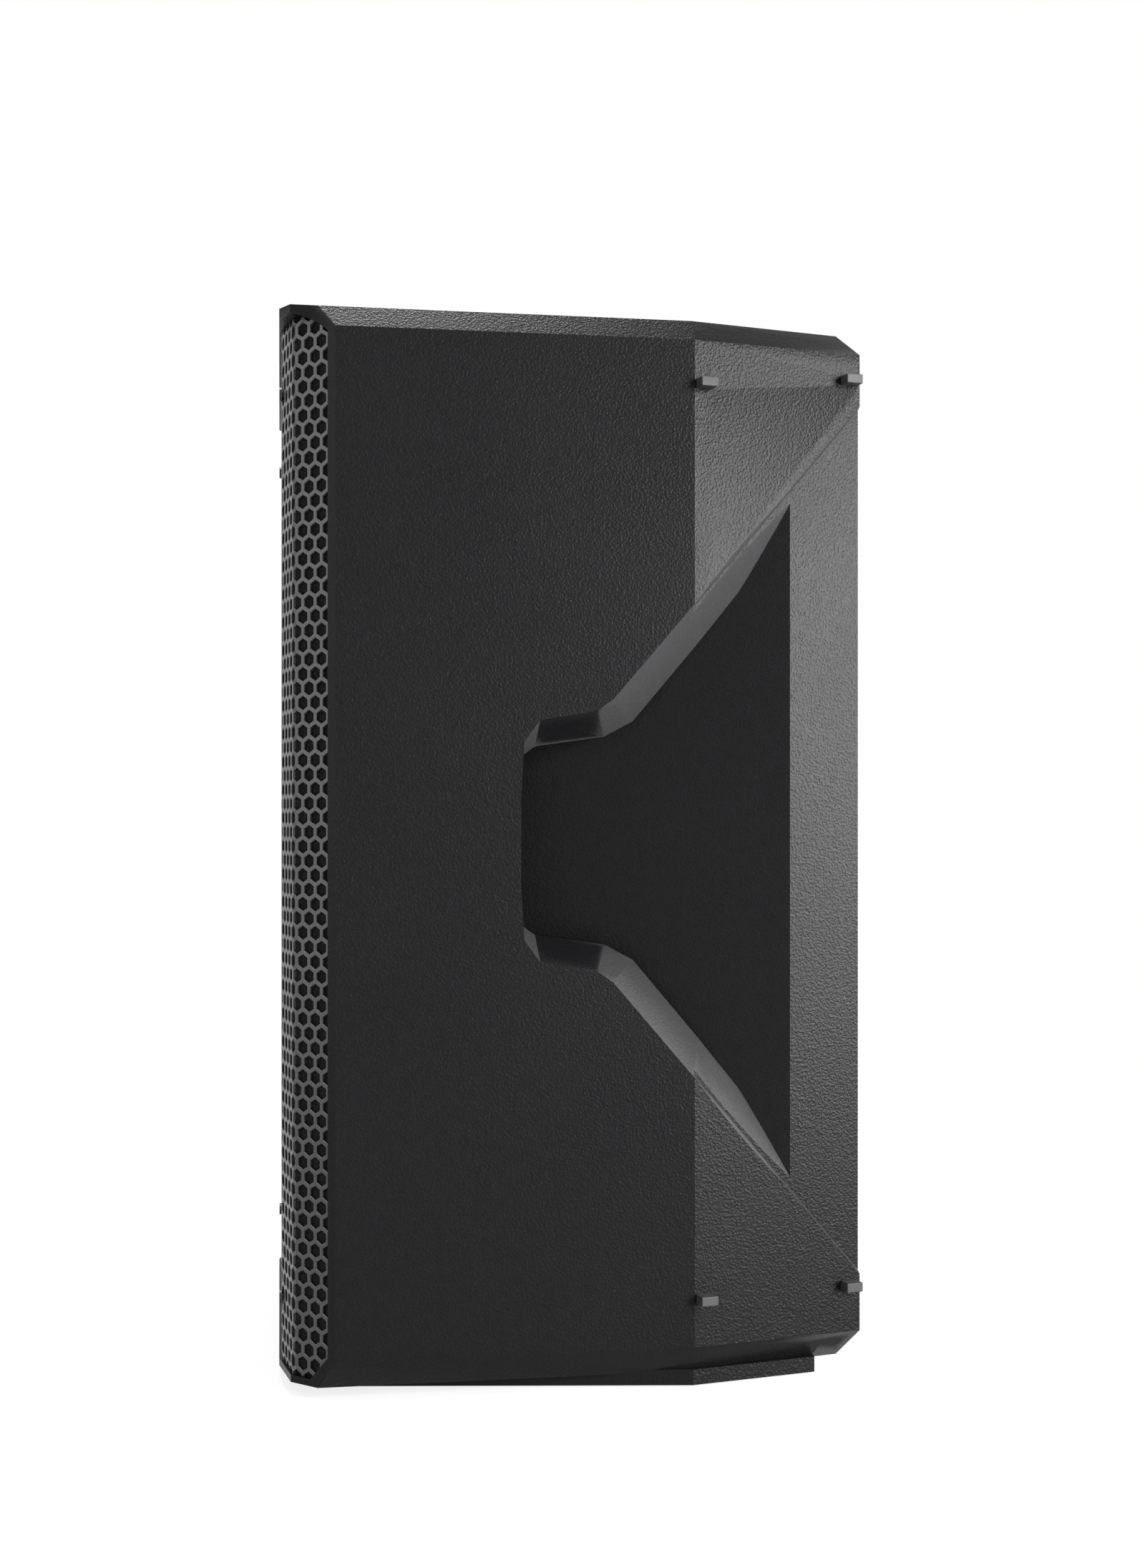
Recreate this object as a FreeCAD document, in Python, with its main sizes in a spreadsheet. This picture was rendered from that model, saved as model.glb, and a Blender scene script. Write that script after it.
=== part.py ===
import FreeCAD, Part
import os
import re
import Sketcher
from FreeCAD import Placement, Rotation, Vector

# A powered two-way loudspeaker cabinet for public address: a moulded tub with a perforated steel
# front, a cone driver and a horn on a baffle, hand grips in both flanks and an amplifier in the back.
# The front faces -Y, the base stands on Z = 0 and X = 0 is the plane of symmetry. Millimetres.

os.makedirs("parts", exist_ok=True)
doc = FreeCAD.newDocument("pa_speaker_cabinet")
sheet = doc.addObject("Spreadsheet::Sheet", "sizes")

DIMENSIONS = [
    # The moulded tub, seen from above: a flat flank, a rear flank that tapers in, and a front lip
    # that follows the folded grille.
    ("flank_half_width", 182.5),
    ("rear_half_width", 162.0),
    ("crease_depth", 65.5),
    ("back_depth", 170.0),
    ("front_depth", 170.0),
    ("face_half_width", 125.0),
    ("shoulder_half_width", 159.5),
    ("shoulder_setback", 6.5),
    ("wing_end_setback", 31.0),
    # The tub, seen from the side.
    ("body_base", 8.0),
    ("body_top", 615.0),
    ("lower_chamfer_rise", 16.0),
    ("upper_chamfer_rise", 13.0),
    ("chamfer_inset", 9.0),
    ("rear_chamfer_inset", 12.0),
    ("visor_half_width", 163.0),
    ("visor_setback", 6.0),
    ("tub_wall", 4.0),
    ("lip_wall", 4.0),
    # The plinth under the tub and the rubber feet let into it.
    ("plinth_clearance", 1.0),
    ("plinth_front_depth", 140.0),
    ("plinth_front_half_width", 148.0),
    ("plinth_crease_half_width", 178.0),
    ("plinth_rear_half_width", 163.0),
    ("plinth_rear_depth", 142.0),
    ("foot_radius", 14.0),
    ("foot_recess", 2.0),
    ("foot_spread", 120.0),
    ("foot_front_depth", 105.0),
    ("foot_rear_depth", 112.0),
    # The hand recess in each flank: a contour on the flank and a smaller one on its floor.
    ("grip_height", 314.5),
    ("grip_floor_inset", 22.5),
    ("grip_backing", 4.0),
    ("lip_bulge", 34.8),
    ("lip_edge", 33.0),
    ("lip_bulge_half_height", 25.0),
    ("lip_half_height", 56.0),
    ("lip_corner_depth", 24.0),
    ("lip_corner_half_height", 68.5),
    ("mouth_depth", 8.7),
    ("mouth_half_height", 74.2),
    ("knee_depth", 18.0),
    ("knee_half_height", 80.5),
    ("crease_half_height", 136.0),
    ("fan_half_height", 231.0),
    ("floor_end", 126.0),
    ("floor_lip_half_height", 48.0),
    ("floor_corner_half_height", 54.5),
    ("floor_mouth_depth", 16.4),
    ("floor_mouth_half_height", 60.3),
    ("floor_knee_depth", 33.5),
    ("floor_knee_half_height", 69.5),
    ("floor_crease_depth", 72.3),
    ("floor_crease_half_height", 115.5),
    ("floor_fan_half_height", 182.0),
    ("strip_step", 3.5),
    ("strip_draft", 0.5),
    ("strip_margin", 10.0),
    ("strip_rear_half_height", 257.0),
    # The grip cup: a ramp that dives from the strip to behind the grip lip.
    ("cup_wall", 3.0),
    ("cup_depth", 57.5),
    ("cup_reach", 50.0),
    # Rubber pads on the rear flanks, on which the cabinet lies as a floor monitor.
    ("pad_length", 10.5),
    ("pad_height", 5.6),
    ("pad_stand", 8.0),
    ("pad_root", 2.0),
    ("pad_front_place", 1.0),
    ("pad_rear_place", 94.0),
    ("pad_front_upper_height", 574.2),
    ("pad_rear_upper_height", 583.2),
    ("pad_lower_height", 48.8),
    # The folded steel grille with foam behind it.
    ("grille_setback", 1.5),
    ("grille_sheet", 1.5),
    ("foam_sheet", 4.0),
    ("grille_screw_height", 40.0),
    ("grille_screw_spread", 125.0),
    # The baffle and what it carries.
    ("baffle_setback", 38.0),
    ("baffle_thickness", 18.0),
    ("woofer_height", 182.0),
    ("flange_radius", 155.0),
    ("flange_thickness", 5.0),
    ("basket_seat_radius", 134.0),
    ("baffle_gap", 1.5),
    ("basket_outer_radius", 138.5),
    ("basket_back_radius", 79.0),
    ("basket_bore_radius", 36.0),
    ("basket_depth", 72.0),
    ("basket_wall", 3.0),
    ("top_plate_radius", 70.0),
    ("top_plate_thickness", 8.0),
    ("magnet_radius", 78.0),
    ("magnet_bore_radius", 40.0),
    ("magnet_thickness", 20.0),
    ("back_plate_thickness", 8.0),
    ("gap_radius", 27.6),
    ("pole_radius", 24.4),
    ("former_radius", 25.2),
    ("former_wall", 0.5),
    ("former_length", 36.0),
    ("winding_wall", 1.0),
    ("winding_length", 14.0),
    ("cone_neck_depth", 55.0),
    ("cone_neck_wall", 1.6),
    ("cone_rim_radius", 120.0),
    ("cone_rim_wall", 1.2),
    ("cone_rim_land", 8.0),
    ("dust_cap_radius", 38.0),
    ("dust_cap_rise", 12.0),
    ("dust_cap_wall", 1.0),
    ("roll_radius", 8.5),
    ("roll_wall", 1.0),
    ("roll_gap", 0.5),
    ("surround_radius", 150.0),
    ("gasket_inner_radius", 139.0),
    ("gasket_thickness", 2.5),
    ("spider_drop", 4.0),
    ("spider_wall", 0.8),
    ("woofer_bolt_circle", 147.0),
    ("woofer_bolt_radius", 2.5),
    ("woofer_bolt_head", 4.5),
    ("woofer_bolt_head_height", 3.0),
    ("woofer_bolt_length", 30.0),
    # The horn and its compression driver.
    ("horn_height", 480.0),
    ("horn_half_width", 125.0),
    ("horn_half_height", 75.0),
    ("horn_waist_half_width", 62.0),
    ("horn_waist_half_height", 40.0),
    ("horn_waist_depth", 38.0),
    ("throat_half_width", 13.0),
    ("horn_depth", 85.0),
    ("horn_wall", 3.0),
    ("horn_flange_width", 12.0),
    ("horn_flange_thickness", 4.0),
    ("compression_radius", 45.0),
    ("compression_length", 34.0),
    ("compression_cap_radius", 38.0),
    ("compression_cap_length", 9.0),
    # The two bass ports.
    ("port_spread", 120.0),
    ("port_height", 352.0),
    ("port_radius", 27.0),
    ("port_wall", 3.0),
    ("port_flange_radius", 33.0),
    ("port_flange_thickness", 3.0),
    ("port_length", 70.0),
    # The amplifier panel in its recess in the back.
    ("panel_height", 250.0),
    ("panel_half_width", 95.5),
    ("panel_half_height", 140.5),
    ("panel_clearance", 0.5),
    ("panel_sheet", 2.5),
    ("recess_depth", 18.0),
    ("recess_wall", 4.0),
    ("ledge_width", 10.0),
    ("ledge_thickness", 5.0),
    ("gasket_sheet", 1.0),
    ("sink_base_thickness", 4.0),
    ("sink_half_width", 80.0),
    ("sink_half_height", 42.0),
    ("sink_place", 94.0),
    ("fin_thickness", 2.4),
    ("fin_pitch", 10.0),
    ("fin_height", 8.0),
    ("panel_screw_radius", 1.6),
    ("panel_screw_head", 3.4),
    ("panel_screw_inset", 5.0),
    ("board_gap", 34.0),
    ("board_sheet", 1.6),
    ("board_half_width", 78.0),
    ("board_half_height", 118.0),
    ("standoff_radius", 3.0),
    ("transformer_radius", 38.0),
    ("transformer_bore", 12.0),
    ("transformer_thickness", 28.0),
    ("transformer_place", 60.0),
    # Sockets and controls on the panel. Columns and rows are places on the panel from its middle.
    ("column_pitch", 50.0),
    ("socket_row", 28.0),
    ("knob_row", 15.0),
    ("button_row", 62.0),
    ("mains_row", 108.0),
    ("socket_flange_width", 26.0),
    ("socket_flange_height", 31.0),
    ("socket_flange_thickness", 2.0),
    ("socket_barrel_radius", 12.0),
    ("socket_barrel_length", 24.0),
    ("jack_radius", 3.25),
    ("jack_length", 22.0),
    ("contact_radius", 1.3),
    ("contact_circle", 7.5),
    ("contact_depth", 12.0),
    ("plug_well_radius", 9.5),
    ("plug_well_depth", 14.0),
    ("latch_width", 6.0),
    ("latch_height", 4.0),
    ("latch_stand", 3.0),
    ("latch_gap", 0.4),
    ("latch_travel", 1.5),
    ("knob_radius", 7.5),
    ("knob_top_radius", 6.0),
    ("knob_length", 11.5),
    ("knob_clearance", 0.6),
    ("shaft_radius", 3.0),
    ("shaft_clearance", 0.05),
    ("pointer_width", 1.4),
    ("pointer_height", 0.6),
    ("pot_half_width", 8.0),
    ("pot_length", 11.0),
    ("button_width", 7.0),
    ("button_stand", 5.0),
    ("button_root", 8.0),
    ("button_gap", 0.4),
    ("button_travel", 2.5),
    ("switch_body_half_width", 6.0),
    ("switch_body_length", 8.0),
    ("inlet_half_width", 25.0),
    ("inlet_half_height", 13.5),
    ("inlet_flange", 2.5),
    ("inlet_well_half_width", 12.4),
    ("inlet_well_half_height", 8.3),
    ("inlet_well_depth", 15.0),
    ("inlet_body_depth", 20.0),
    ("inlet_pin_width", 2.0),
    ("inlet_pin_height", 4.0),
    ("inlet_pin_length", 13.0),
    ("inlet_pin_spread", 7.0),
    ("inlet_earth_rise", 4.0),
    ("inlet_place", 40.0),
    ("rocker_place", 22.0),
    ("rocker_half_width", 6.5),
    ("rocker_half_height", 12.0),
    ("rocker_gap", 0.5),
    ("rocker_end_gap", 1.2),
    ("rocker_stand", 3.0),
    ("rocker_depth", 9.0),
    ("rocker_root_lift", 1.0),
    ("rocker_tilt", 6.0),
    ("rocker_frame_border", 3.5),
    ("rocker_frame_stand", 2.0),
    ("rocker_frame_depth", 16.0),
    ("rocker_pin_radius", 1.5),
    ("lamp_radius", 2.5),
    ("lamp_stand", 1.5),
    ("lamp_length", 8.0),
    ("lamp_place", 62.0),
    # The pole socket in the base and the threaded rigging inserts.
    ("pole_socket_radius", 18.0),
    ("pole_socket_wall", 4.0),
    ("pole_socket_depth", 100.0),
    ("pole_socket_crown", 6.0),
    ("pole_socket_place", 25.0),
    ("pole_socket_recess", 2.0),
    ("pole_flange_radius", 40.0),
    ("pole_flange_thickness", 4.0),
    ("pole_screw_circle", 32.0),
    ("small_screw_radius", 2.0),
    ("small_screw_head", 4.0),
    ("small_screw_head_height", 1.4),
    ("small_screw_length", 10.0),
    ("insert_radius", 9.0),
    ("insert_tapping_radius", 4.25),
    ("insert_length", 22.0),
    ("insert_thread_length", 18.0),
    ("insert_flange_radius", 14.0),
    ("insert_flange_thickness", 3.0),
    ("insert_spread", 100.0),
    ("insert_rear_height", 560.0),
    # Wadding on the inner face of the back.
    ("wadding_thickness", 15.0),
    ("wadding_half_width", 125.0),
    ("wadding_low", 405.0),
    ("wadding_high", 540.0),
    ("seat_gap", 0.3),
]

for row, (alias, number) in enumerate(DIMENSIONS, start=1):
    sheet.set("A%d" % row, alias.replace("_", " "))
    sheet.set("B%d" % row, "%g" % number)
    sheet.setAlias("B%d" % row, alias)
doc.recompute()

ALIASES = {alias for alias, number in DIMENSIONS}
# Depths of the front's parts, each measured back from the front lip.
DERIVED = {
    "shoulder_depth": "(front_depth - shoulder_setback)",
    "wing_end_depth": "(front_depth - wing_end_setback)",
    "visor_depth": "(front_depth - visor_setback)",
    "fan_backing": "(3 * grip_backing)",
    "baffle_front_depth": "(front_depth - baffle_setback)",
}
UPRIGHT = Rotation(Vector(1, 1, 1), 120)
FACING_FRONT = Rotation(Vector(1, 0, 0), 90)
FACING_BACK = Rotation(Vector(1, 0, 0), -90)
LEVEL = Rotation()
nodes = []


def bound(text):
    """The same expression with each dimension's word turned into a reference to the sheet."""
    words = re.compile(r"[a-z_][a-z_0-9]*")
    spelled = words.sub(lambda m: DERIVED.get(m.group(0), m.group(0)), text)
    return words.sub(lambda m: "sizes." + m.group(0) if m.group(0) in ALIASES else m.group(0), spelled)


def value(text):
    """The number that an expression has now."""
    return float(sheet.evalExpression(bound(text)))


def tie(thing, prop, text):
    """Binds a property to an expression on the sheet."""
    thing.setExpression(prop, bound(text))


def put(thing, place, turn=LEVEL):
    """Gives an object its rotation and ties its position to the sheet."""
    thing.Placement = Placement(Vector(*[value(part) for part in place]), turn)
    for axis, part in zip("xyz", place):
        tie(thing, "Placement.Base." + axis, part)
    return thing


def keep(thing, label):
    """Marks an object as a finished piece, under the name that it is filed as."""
    thing.Label = label
    nodes.append(thing)
    return thing


def draw_polygon(sketch, corners):
    """Adds a closed polygon whose corners are tied to the sheet."""
    spots = [Vector(value(across), value(up), 0) for across, up in corners]
    first = sketch.GeometryCount
    count = len(spots)
    for i in range(count):
        sketch.addGeometry(Part.LineSegment(spots[i], spots[(i + 1) % count]), False)
    for i in range(count):
        line = first + i
        sketch.addConstraint(Sketcher.Constraint("Coincident", line, 2, first + (i + 1) % count, 1))
    for i, (across, up) in enumerate(corners):
        for kind, text, number in (("DistanceX", across, spots[i].x), ("DistanceY", up, spots[i].y)):
            mark = sketch.addConstraint(Sketcher.Constraint(kind, -1, 1, first + i, 1, number))
            sketch.setExpression("Constraints[%d]" % mark, bound(text))


def draw_circle(sketch, across, up, radius):
    """Adds a circle tied to the sheet."""
    circle = Part.Circle(Vector(value(across), value(up), 0), Vector(0, 0, 1), value(radius))
    line = sketch.addGeometry(circle, False)
    for kind, text in (("DistanceX", across), ("DistanceY", up)):
        mark = sketch.addConstraint(Sketcher.Constraint(kind, -1, 1, line, 3, value(text)))
        sketch.setExpression("Constraints[%d]" % mark, bound(text))
    mark = sketch.addConstraint(Sketcher.Constraint("Radius", line, value(radius)))
    sketch.setExpression("Constraints[%d]" % mark, bound(radius))


def outline(name, corners, place=("0", "0", "0"), turn=LEVEL):
    """A free sketch of one polygon, for a loft or an extrusion."""
    sketch = doc.addObject("Sketcher::SketchObject", name)
    draw_polygon(sketch, corners)
    return put(sketch, place, turn)


def extrusion(name, profile, direction, length):
    """A solid drawn out of a sketch along a fixed direction."""
    solid = doc.addObject("Part::Extrusion", name)
    solid.Base = profile
    solid.DirMode = "Custom"
    solid.Dir = direction
    tie(solid, "LengthFwd", length)
    solid.Solid = True
    return solid


def loft(name, sections):
    """A solid with flat or evenly ruled sides through several sketches."""
    solid = doc.addObject("Part::Loft", name)
    solid.Sections = sections
    solid.Solid = True
    solid.Ruled = True
    return solid


def cut(name, base, tool):
    solid = doc.addObject("Part::Cut", name)
    solid.Base = base
    solid.Tool = tool
    return solid


def fuse(name, shapes):
    solid = doc.addObject("Part::MultiFuse", name)
    solid.Shapes = shapes
    return solid


def common(name, first, second):
    solid = doc.addObject("Part::Common", name)
    solid.Base = first
    solid.Tool = second
    return solid


def group(name, shapes):
    solid = doc.addObject("Part::Compound", name)
    solid.Links = shapes
    return solid


def mirrored(name, source):
    """The same piece on the other side of the plane of symmetry."""
    solid = doc.addObject("Part::Mirroring", name)
    solid.Source = source
    solid.Normal = Vector(1, 0, 0)
    return solid


def box(name, size, low):
    """A block from its size and its lowest corner."""
    solid = doc.addObject("Part::Box", name)
    for side, text in zip(("Length", "Width", "Height"), size):
        tie(solid, side, text)
    return put(solid, low)


def rod(name, radius, length, place, turn=LEVEL):
    """A cylinder that starts at a place and points along its turned Z."""
    solid = doc.addObject("Part::Cylinder", name)
    tie(solid, "Radius", radius)
    tie(solid, "Height", length)
    return put(solid, place, turn)


def plane_of(body, role):
    return [part for part in body.Origin.OriginFeatures if part.Role == role][0]


def sketch_in(body, name, role="XZ_Plane"):
    sketch = body.newObject("Sketcher::SketchObject", name)
    sketch.AttachmentSupport = (plane_of(body, role), [""])
    sketch.MapMode = "FlatFace"
    return sketch


def turned(label, profile, place, turn=FACING_FRONT):
    """A piece turned on its own Z: the profile's corners are (radius, height)."""
    body = doc.addObject("PartDesign::Body", label)
    sketch = sketch_in(body, label + "_profile")
    draw_polygon(sketch, profile)
    spin = body.newObject("PartDesign::Revolution", label + "_turning")
    spin.Profile = sketch
    spin.ReferenceAxis = (sketch, ["V_Axis"])
    spin.Angle = 360
    body.Tip = spin
    return put(body, place, turn)


def padded_plate(label, corners, holes, thickness, place, turn=LEVEL):
    """A flat piece: a polygon with round or polygonal holes, padded along its own Z."""
    body = doc.addObject("PartDesign::Body", label)
    sketch = sketch_in(body, label + "_outline", "XY_Plane")
    draw_polygon(sketch, corners)
    for hole in holes:
        if len(hole) == 3 and isinstance(hole[0], str):
            draw_circle(sketch, *hole)
        else:
            draw_polygon(sketch, hole)
    pad = body.newObject("PartDesign::Pad", label + "_pad")
    pad.Profile = sketch
    tie(pad, "Length", thickness)
    body.Tip = pad
    return put(body, place, turn)


def rectangle(half_width, half_height, across="0", up="0"):
    """Four corners about a middle."""
    right, left = "%s + (%s)" % (across, half_width), "%s - (%s)" % (across, half_width)
    high, low = "%s + (%s)" % (up, half_height), "%s - (%s)" % (up, half_height)
    return [(left, low), (right, low), (right, high), (left, high)]


def screw_set(label, places, turn, head, head_height, shank, length):
    """Identical pan-head screws, heads standing on their places. Returns the stems, to drill with."""
    screws, stems = [], []
    stem_turn = turn * Rotation(Vector(1, 0, 0), 180)
    for i, place in enumerate(places):
        top = rod("%s_head_%d" % (label, i), head, head_height, place, turn)
        stems.append(rod("%s_stem_%d" % (label, i), shank, length, place, stem_turn))
        screws.append(fuse("%s_%d" % (label, i), [top, stems[i]]))
    keep(group(label + "_set", screws), label)
    return stems


def spread_angles(count):
    """The angles of fasteners spread evenly round a circle, with none of them on an axis."""
    return [(i + 0.5) * 360 / count for i in range(count)]


def drilled(label, base, tools):
    """A finished piece with holes where its fasteners pass."""
    return keep(cut(label + "_drilled", base, fuse(label + "_drills", tools)), label)


# The moulded tub
def plan(half_flank, half_rear, back, forward="front_depth"):
    """The tub's plan, from the left rear corner round the front to the right rear corner."""
    wing_run = "((flank_half_width) - (%s))" % half_flank
    wing_end = "-wing_end_depth - %s * (shoulder_depth - wing_end_depth)" \
        " / (flank_half_width - shoulder_half_width)" % wing_run
    right = [
        ("face_half_width", "-(%s)" % forward),
        ("shoulder_half_width", "-shoulder_depth"),
        (half_flank, wing_end),
        (half_flank, "crease_depth"),
        (half_rear, back),
    ]
    left = [("-(%s)" % across, up) for across, up in reversed(right)]
    return left + right


full_plan = plan("flank_half_width", "rear_half_width", "back_depth")
small_plan = plan("flank_half_width - chamfer_inset", "rear_half_width - chamfer_inset",
                  "back_depth - rear_chamfer_inset")
# The top's front edge reaches over the folded grille as a visor with fuller corners.
visor_corners = [("visor_half_width", "-front_depth"), ("flank_half_width - chamfer_inset", "-visor_depth")]
visor_left = [("-(%s)" % across, up) for across, up in reversed(visor_corners)]
half_count = len(small_plan) // 2
visor_plan = small_plan[:half_count - 2] + visor_left + visor_corners + small_plan[half_count + 2:]
tub_levels = [
    ("base", small_plan, "body_base"),
    ("low", full_plan, "body_base + lower_chamfer_rise"),
    ("high", full_plan, "body_top - upper_chamfer_rise"),
    ("top", visor_plan, "body_top"),
]
tub_outside = loft("tub_outside", [
    outline("tub_plan_" + name, corners, ("0", "0", level)) for name, corners, level in tub_levels])


def inner_plan(inset, back_inset):
    """The cavity's plan: one wall inside the tub's, and open through the front."""
    flank = "flank_half_width - tub_wall - (%s)" % inset
    rear = "rear_half_width - tub_wall - (%s)" % inset
    back = "back_depth - tub_wall - (%s)" % back_inset
    right = [(flank, "-front_depth - tub_wall"), (flank, "crease_depth - tub_wall"), (rear, back)]
    return [("-(%s)" % across, up) for across, up in reversed(right)] + right


cavity_levels = [
    ("base", inner_plan("chamfer_inset", "rear_chamfer_inset"), "body_base + lip_wall"),
    ("low", inner_plan("0", "0"), "body_base + lower_chamfer_rise + lip_wall / 2"),
    ("high", inner_plan("0", "0"), "body_top - upper_chamfer_rise - lip_wall / 2"),
    ("top", inner_plan("chamfer_inset", "rear_chamfer_inset"), "body_top - lip_wall"),
]
tub_cavity = loft("tub_cavity", [
    outline("cavity_plan_" + name, corners, ("0", "0", level)) for name, corners, level in cavity_levels])
tub_hollow = cut("tub_hollow", tub_outside, tub_cavity)


def both_ends(contour):
    """A contour given for its upper half, completed below the recess's middle height."""
    upper = [(along, "grip_height + (%s)" % up) for along, up in contour]
    lower = [(along, "grip_height - (%s)" % up) for along, up in reversed(contour)]
    return upper + lower


flank_contour = [
    ("-lip_bulge", "lip_bulge_half_height"),
    ("-lip_edge", "lip_half_height"),
    ("-lip_corner_depth", "lip_corner_half_height"),
    ("mouth_depth", "mouth_half_height"),
    ("knee_depth", "knee_half_height"),
    ("crease_depth", "crease_half_height"),
    ("floor_end", "fan_half_height"),
]
floor_contour = [
    ("-lip_bulge", "lip_bulge_half_height"),
    ("-lip_edge", "floor_lip_half_height"),
    ("-lip_corner_depth", "floor_corner_half_height"),
    ("floor_mouth_depth", "floor_mouth_half_height"),
    ("floor_knee_depth", "floor_knee_half_height"),
    ("floor_crease_depth", "floor_crease_half_height"),
    ("floor_end", "floor_fan_half_height"),
]


def grown(contour):
    """The contour moved out across its diagonals, for the material behind the recess."""
    end_along, end_up = contour[-1]
    wider = [(along + " - grip_backing", up + " + grip_backing") for along, up in contour[:-1]]
    return wider + [(end_along + " + grip_backing", end_up + " + fan_backing")]


grip_hollow = loft("grip_hollow", [
    outline("grip_flank_contour", both_ends(flank_contour), ("flank_half_width", "0", "0"), UPRIGHT),
    outline("grip_floor_contour", both_ends(floor_contour),
            ("flank_half_width - grip_floor_inset", "0", "0"), UPRIGHT)])
grip_block = common("grip_block", loft("grip_backing_block", [
    outline("backing_flank_contour", both_ends(grown(flank_contour)), ("flank_half_width", "0", "0"), UPRIGHT),
    outline("backing_floor_contour", both_ends(grown(floor_contour)),
            ("flank_half_width - grip_floor_inset - grip_backing", "0", "0"), UPRIGHT)]), tub_outside)

# The rear flank is stepped down between two lines that fan out from the recess to the back edge.
taper = "(flank_half_width - rear_half_width) / (back_depth - crease_depth)"
strip_wedge = extrusion("strip_wedge", outline("strip_plan", [
    ("flank_half_width - strip_step", "crease_depth"),
    ("flank_half_width + strip_step", "crease_depth"),
    ("flank_half_width + strip_step", "back_depth + strip_step"),
    ("rear_half_width - strip_step - strip_step * %s" % taper, "back_depth + strip_step"),
]), Vector(0, 0, 1), "body_top")
strip_rise = "(strip_rear_half_height - crease_half_height) / (back_depth - crease_depth)"


def strip_level(name, level):
    """The fan's outline at one distance from the middle. Its two lines lean outwards by the draft."""
    corners = []
    for along in ("crease_depth - strip_step", "back_depth"):
        depth_out = "((%s) - flank_half_width + ((%s) - crease_depth) * %s)" % (level, along, taper)
        up = "crease_half_height + ((%s) - crease_depth) * %s + strip_draft * %s" % (
            along, strip_rise, depth_out)
        corners.append((along, up))
    return outline(name, both_ends(corners), (level, "0", "0"), UPRIGHT)


strip_fan = loft("strip_fan", [strip_level("strip_deep_outline", "rear_half_width - strip_margin"),
                               strip_level("strip_outer_outline", "flank_half_width + strip_step")])
strip_hollow = common("strip_hollow", strip_wedge, strip_fan)

# The recess is open through its backing, where the grip cup closes it.
cup_face = "(flank_half_width - grip_floor_inset - grip_backing)"
shaft_contour = outline("grip_shaft_contour", both_ends(floor_contour), (cup_face, "0", "0"), UPRIGHT)
grip_shaft = extrusion("grip_shaft", shaft_contour, Vector(1, 0, 0), "grip_backing")
grip_opening = fuse("grip_opening", [grip_hollow, grip_shaft])

plinth = extrusion("plinth", outline("plinth_plan", [
    ("-plinth_front_half_width", "-plinth_front_depth"),
    ("plinth_front_half_width", "-plinth_front_depth"),
    ("plinth_crease_half_width", "crease_depth"),
    ("plinth_rear_half_width", "plinth_rear_depth"),
    ("-plinth_rear_half_width", "plinth_rear_depth"),
    ("-plinth_crease_half_width", "crease_depth"),
], ("0", "0", "plinth_clearance")), Vector(0, 0, 1), "body_base + lip_wall / 2 - plinth_clearance")

# Where the panel stands: its ledge, and the faces of the panel sheet, along Y.
ledge_face = "(back_depth - recess_depth)"
panel_inner = "(back_depth - recess_depth + gasket_sheet)"
panel_outer = "(back_depth - recess_depth + gasket_sheet + panel_sheet)"
recess_half_width = "(panel_half_width + panel_clearance)"
recess_half_height = "(panel_half_height + panel_clearance)"
panel_block = box("panel_block", (
    "2 * (%s + recess_wall)" % recess_half_width, "recess_depth + ledge_thickness",
    "2 * (%s + recess_wall)" % recess_half_height), (
    "-%s - recess_wall" % recess_half_width, ledge_face + " - ledge_thickness",
    "panel_height - %s - recess_wall" % recess_half_height))
panel_recess = box("panel_recess", (
    "2 * " + recess_half_width, "recess_depth + tub_wall", "2 * " + recess_half_height), (
    "-" + recess_half_width, ledge_face, "panel_height - " + recess_half_height))
panel_opening = box("panel_opening", (
    "2 * (%s - ledge_width)" % recess_half_width, "recess_depth + 2 * tub_wall",
    "2 * (%s - ledge_width)" % recess_half_height), (
    "-%s + ledge_width" % recess_half_width, ledge_face + " - 2 * ledge_thickness",
    "panel_height - %s + ledge_width" % recess_half_height))

panel_screws = [(across, up) for across in ("panel_half_width - panel_screw_inset",
                                            "-panel_half_width + panel_screw_inset")
                for up in ("panel_half_height - panel_screw_inset", "0",
                           "-panel_half_height + panel_screw_inset")]
screw_holes = [(across, up, "panel_screw_radius") for across, up in panel_screws]
panel_stems = screw_set("amp_panel_screws", [(across, panel_outer, "panel_height + " + up)
                                             for across, up in panel_screws],
                        FACING_BACK, "panel_screw_head", "small_screw_head_height", "panel_screw_radius",
                        "panel_sheet + gasket_sheet + ledge_thickness")

tub_floor = "body_base + lip_wall"
POLE_SCREW_COUNT = 4
pole_screws = [("pole_screw_circle * cos(%g)" % angle,
                "pole_socket_place + pole_screw_circle * sin(%g)" % angle,
                tub_floor + " + pole_flange_thickness") for angle in spread_angles(POLE_SCREW_COUNT)]
pole_stems = screw_set("pole_socket_screws", pole_screws, LEVEL, "small_screw_head",
                       "small_screw_head_height", "small_screw_radius", "small_screw_length - lip_wall")

foot_places = [(side + "foot_spread", depth) for side in ("", "-")
               for depth in ("-foot_front_depth", "foot_rear_depth")]
foot_recesses = [rod("foot_recess_%d" % i, "foot_radius", "foot_recess", (across, along, "plinth_clearance"))
                 for i, (across, along) in enumerate(foot_places)]
pole_hole = rod("pole_hole", "pole_socket_radius + pole_socket_wall", "body_base + 2 * lip_wall",
                ("0", "pole_socket_place", "0"))
insert_holes = [rod("insert_hole_" + side, "insert_radius", "3 * lip_wall", (across, "0", "body_top - 2 * lip_wall"))
                for side, across in (("right", "insert_spread"), ("left", "-insert_spread"))]
insert_holes.append(rod("insert_hole_rear", "insert_radius", "3 * tub_wall",
                        ("0", "back_depth + tub_wall", "insert_rear_height"), FACING_FRONT))


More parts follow.
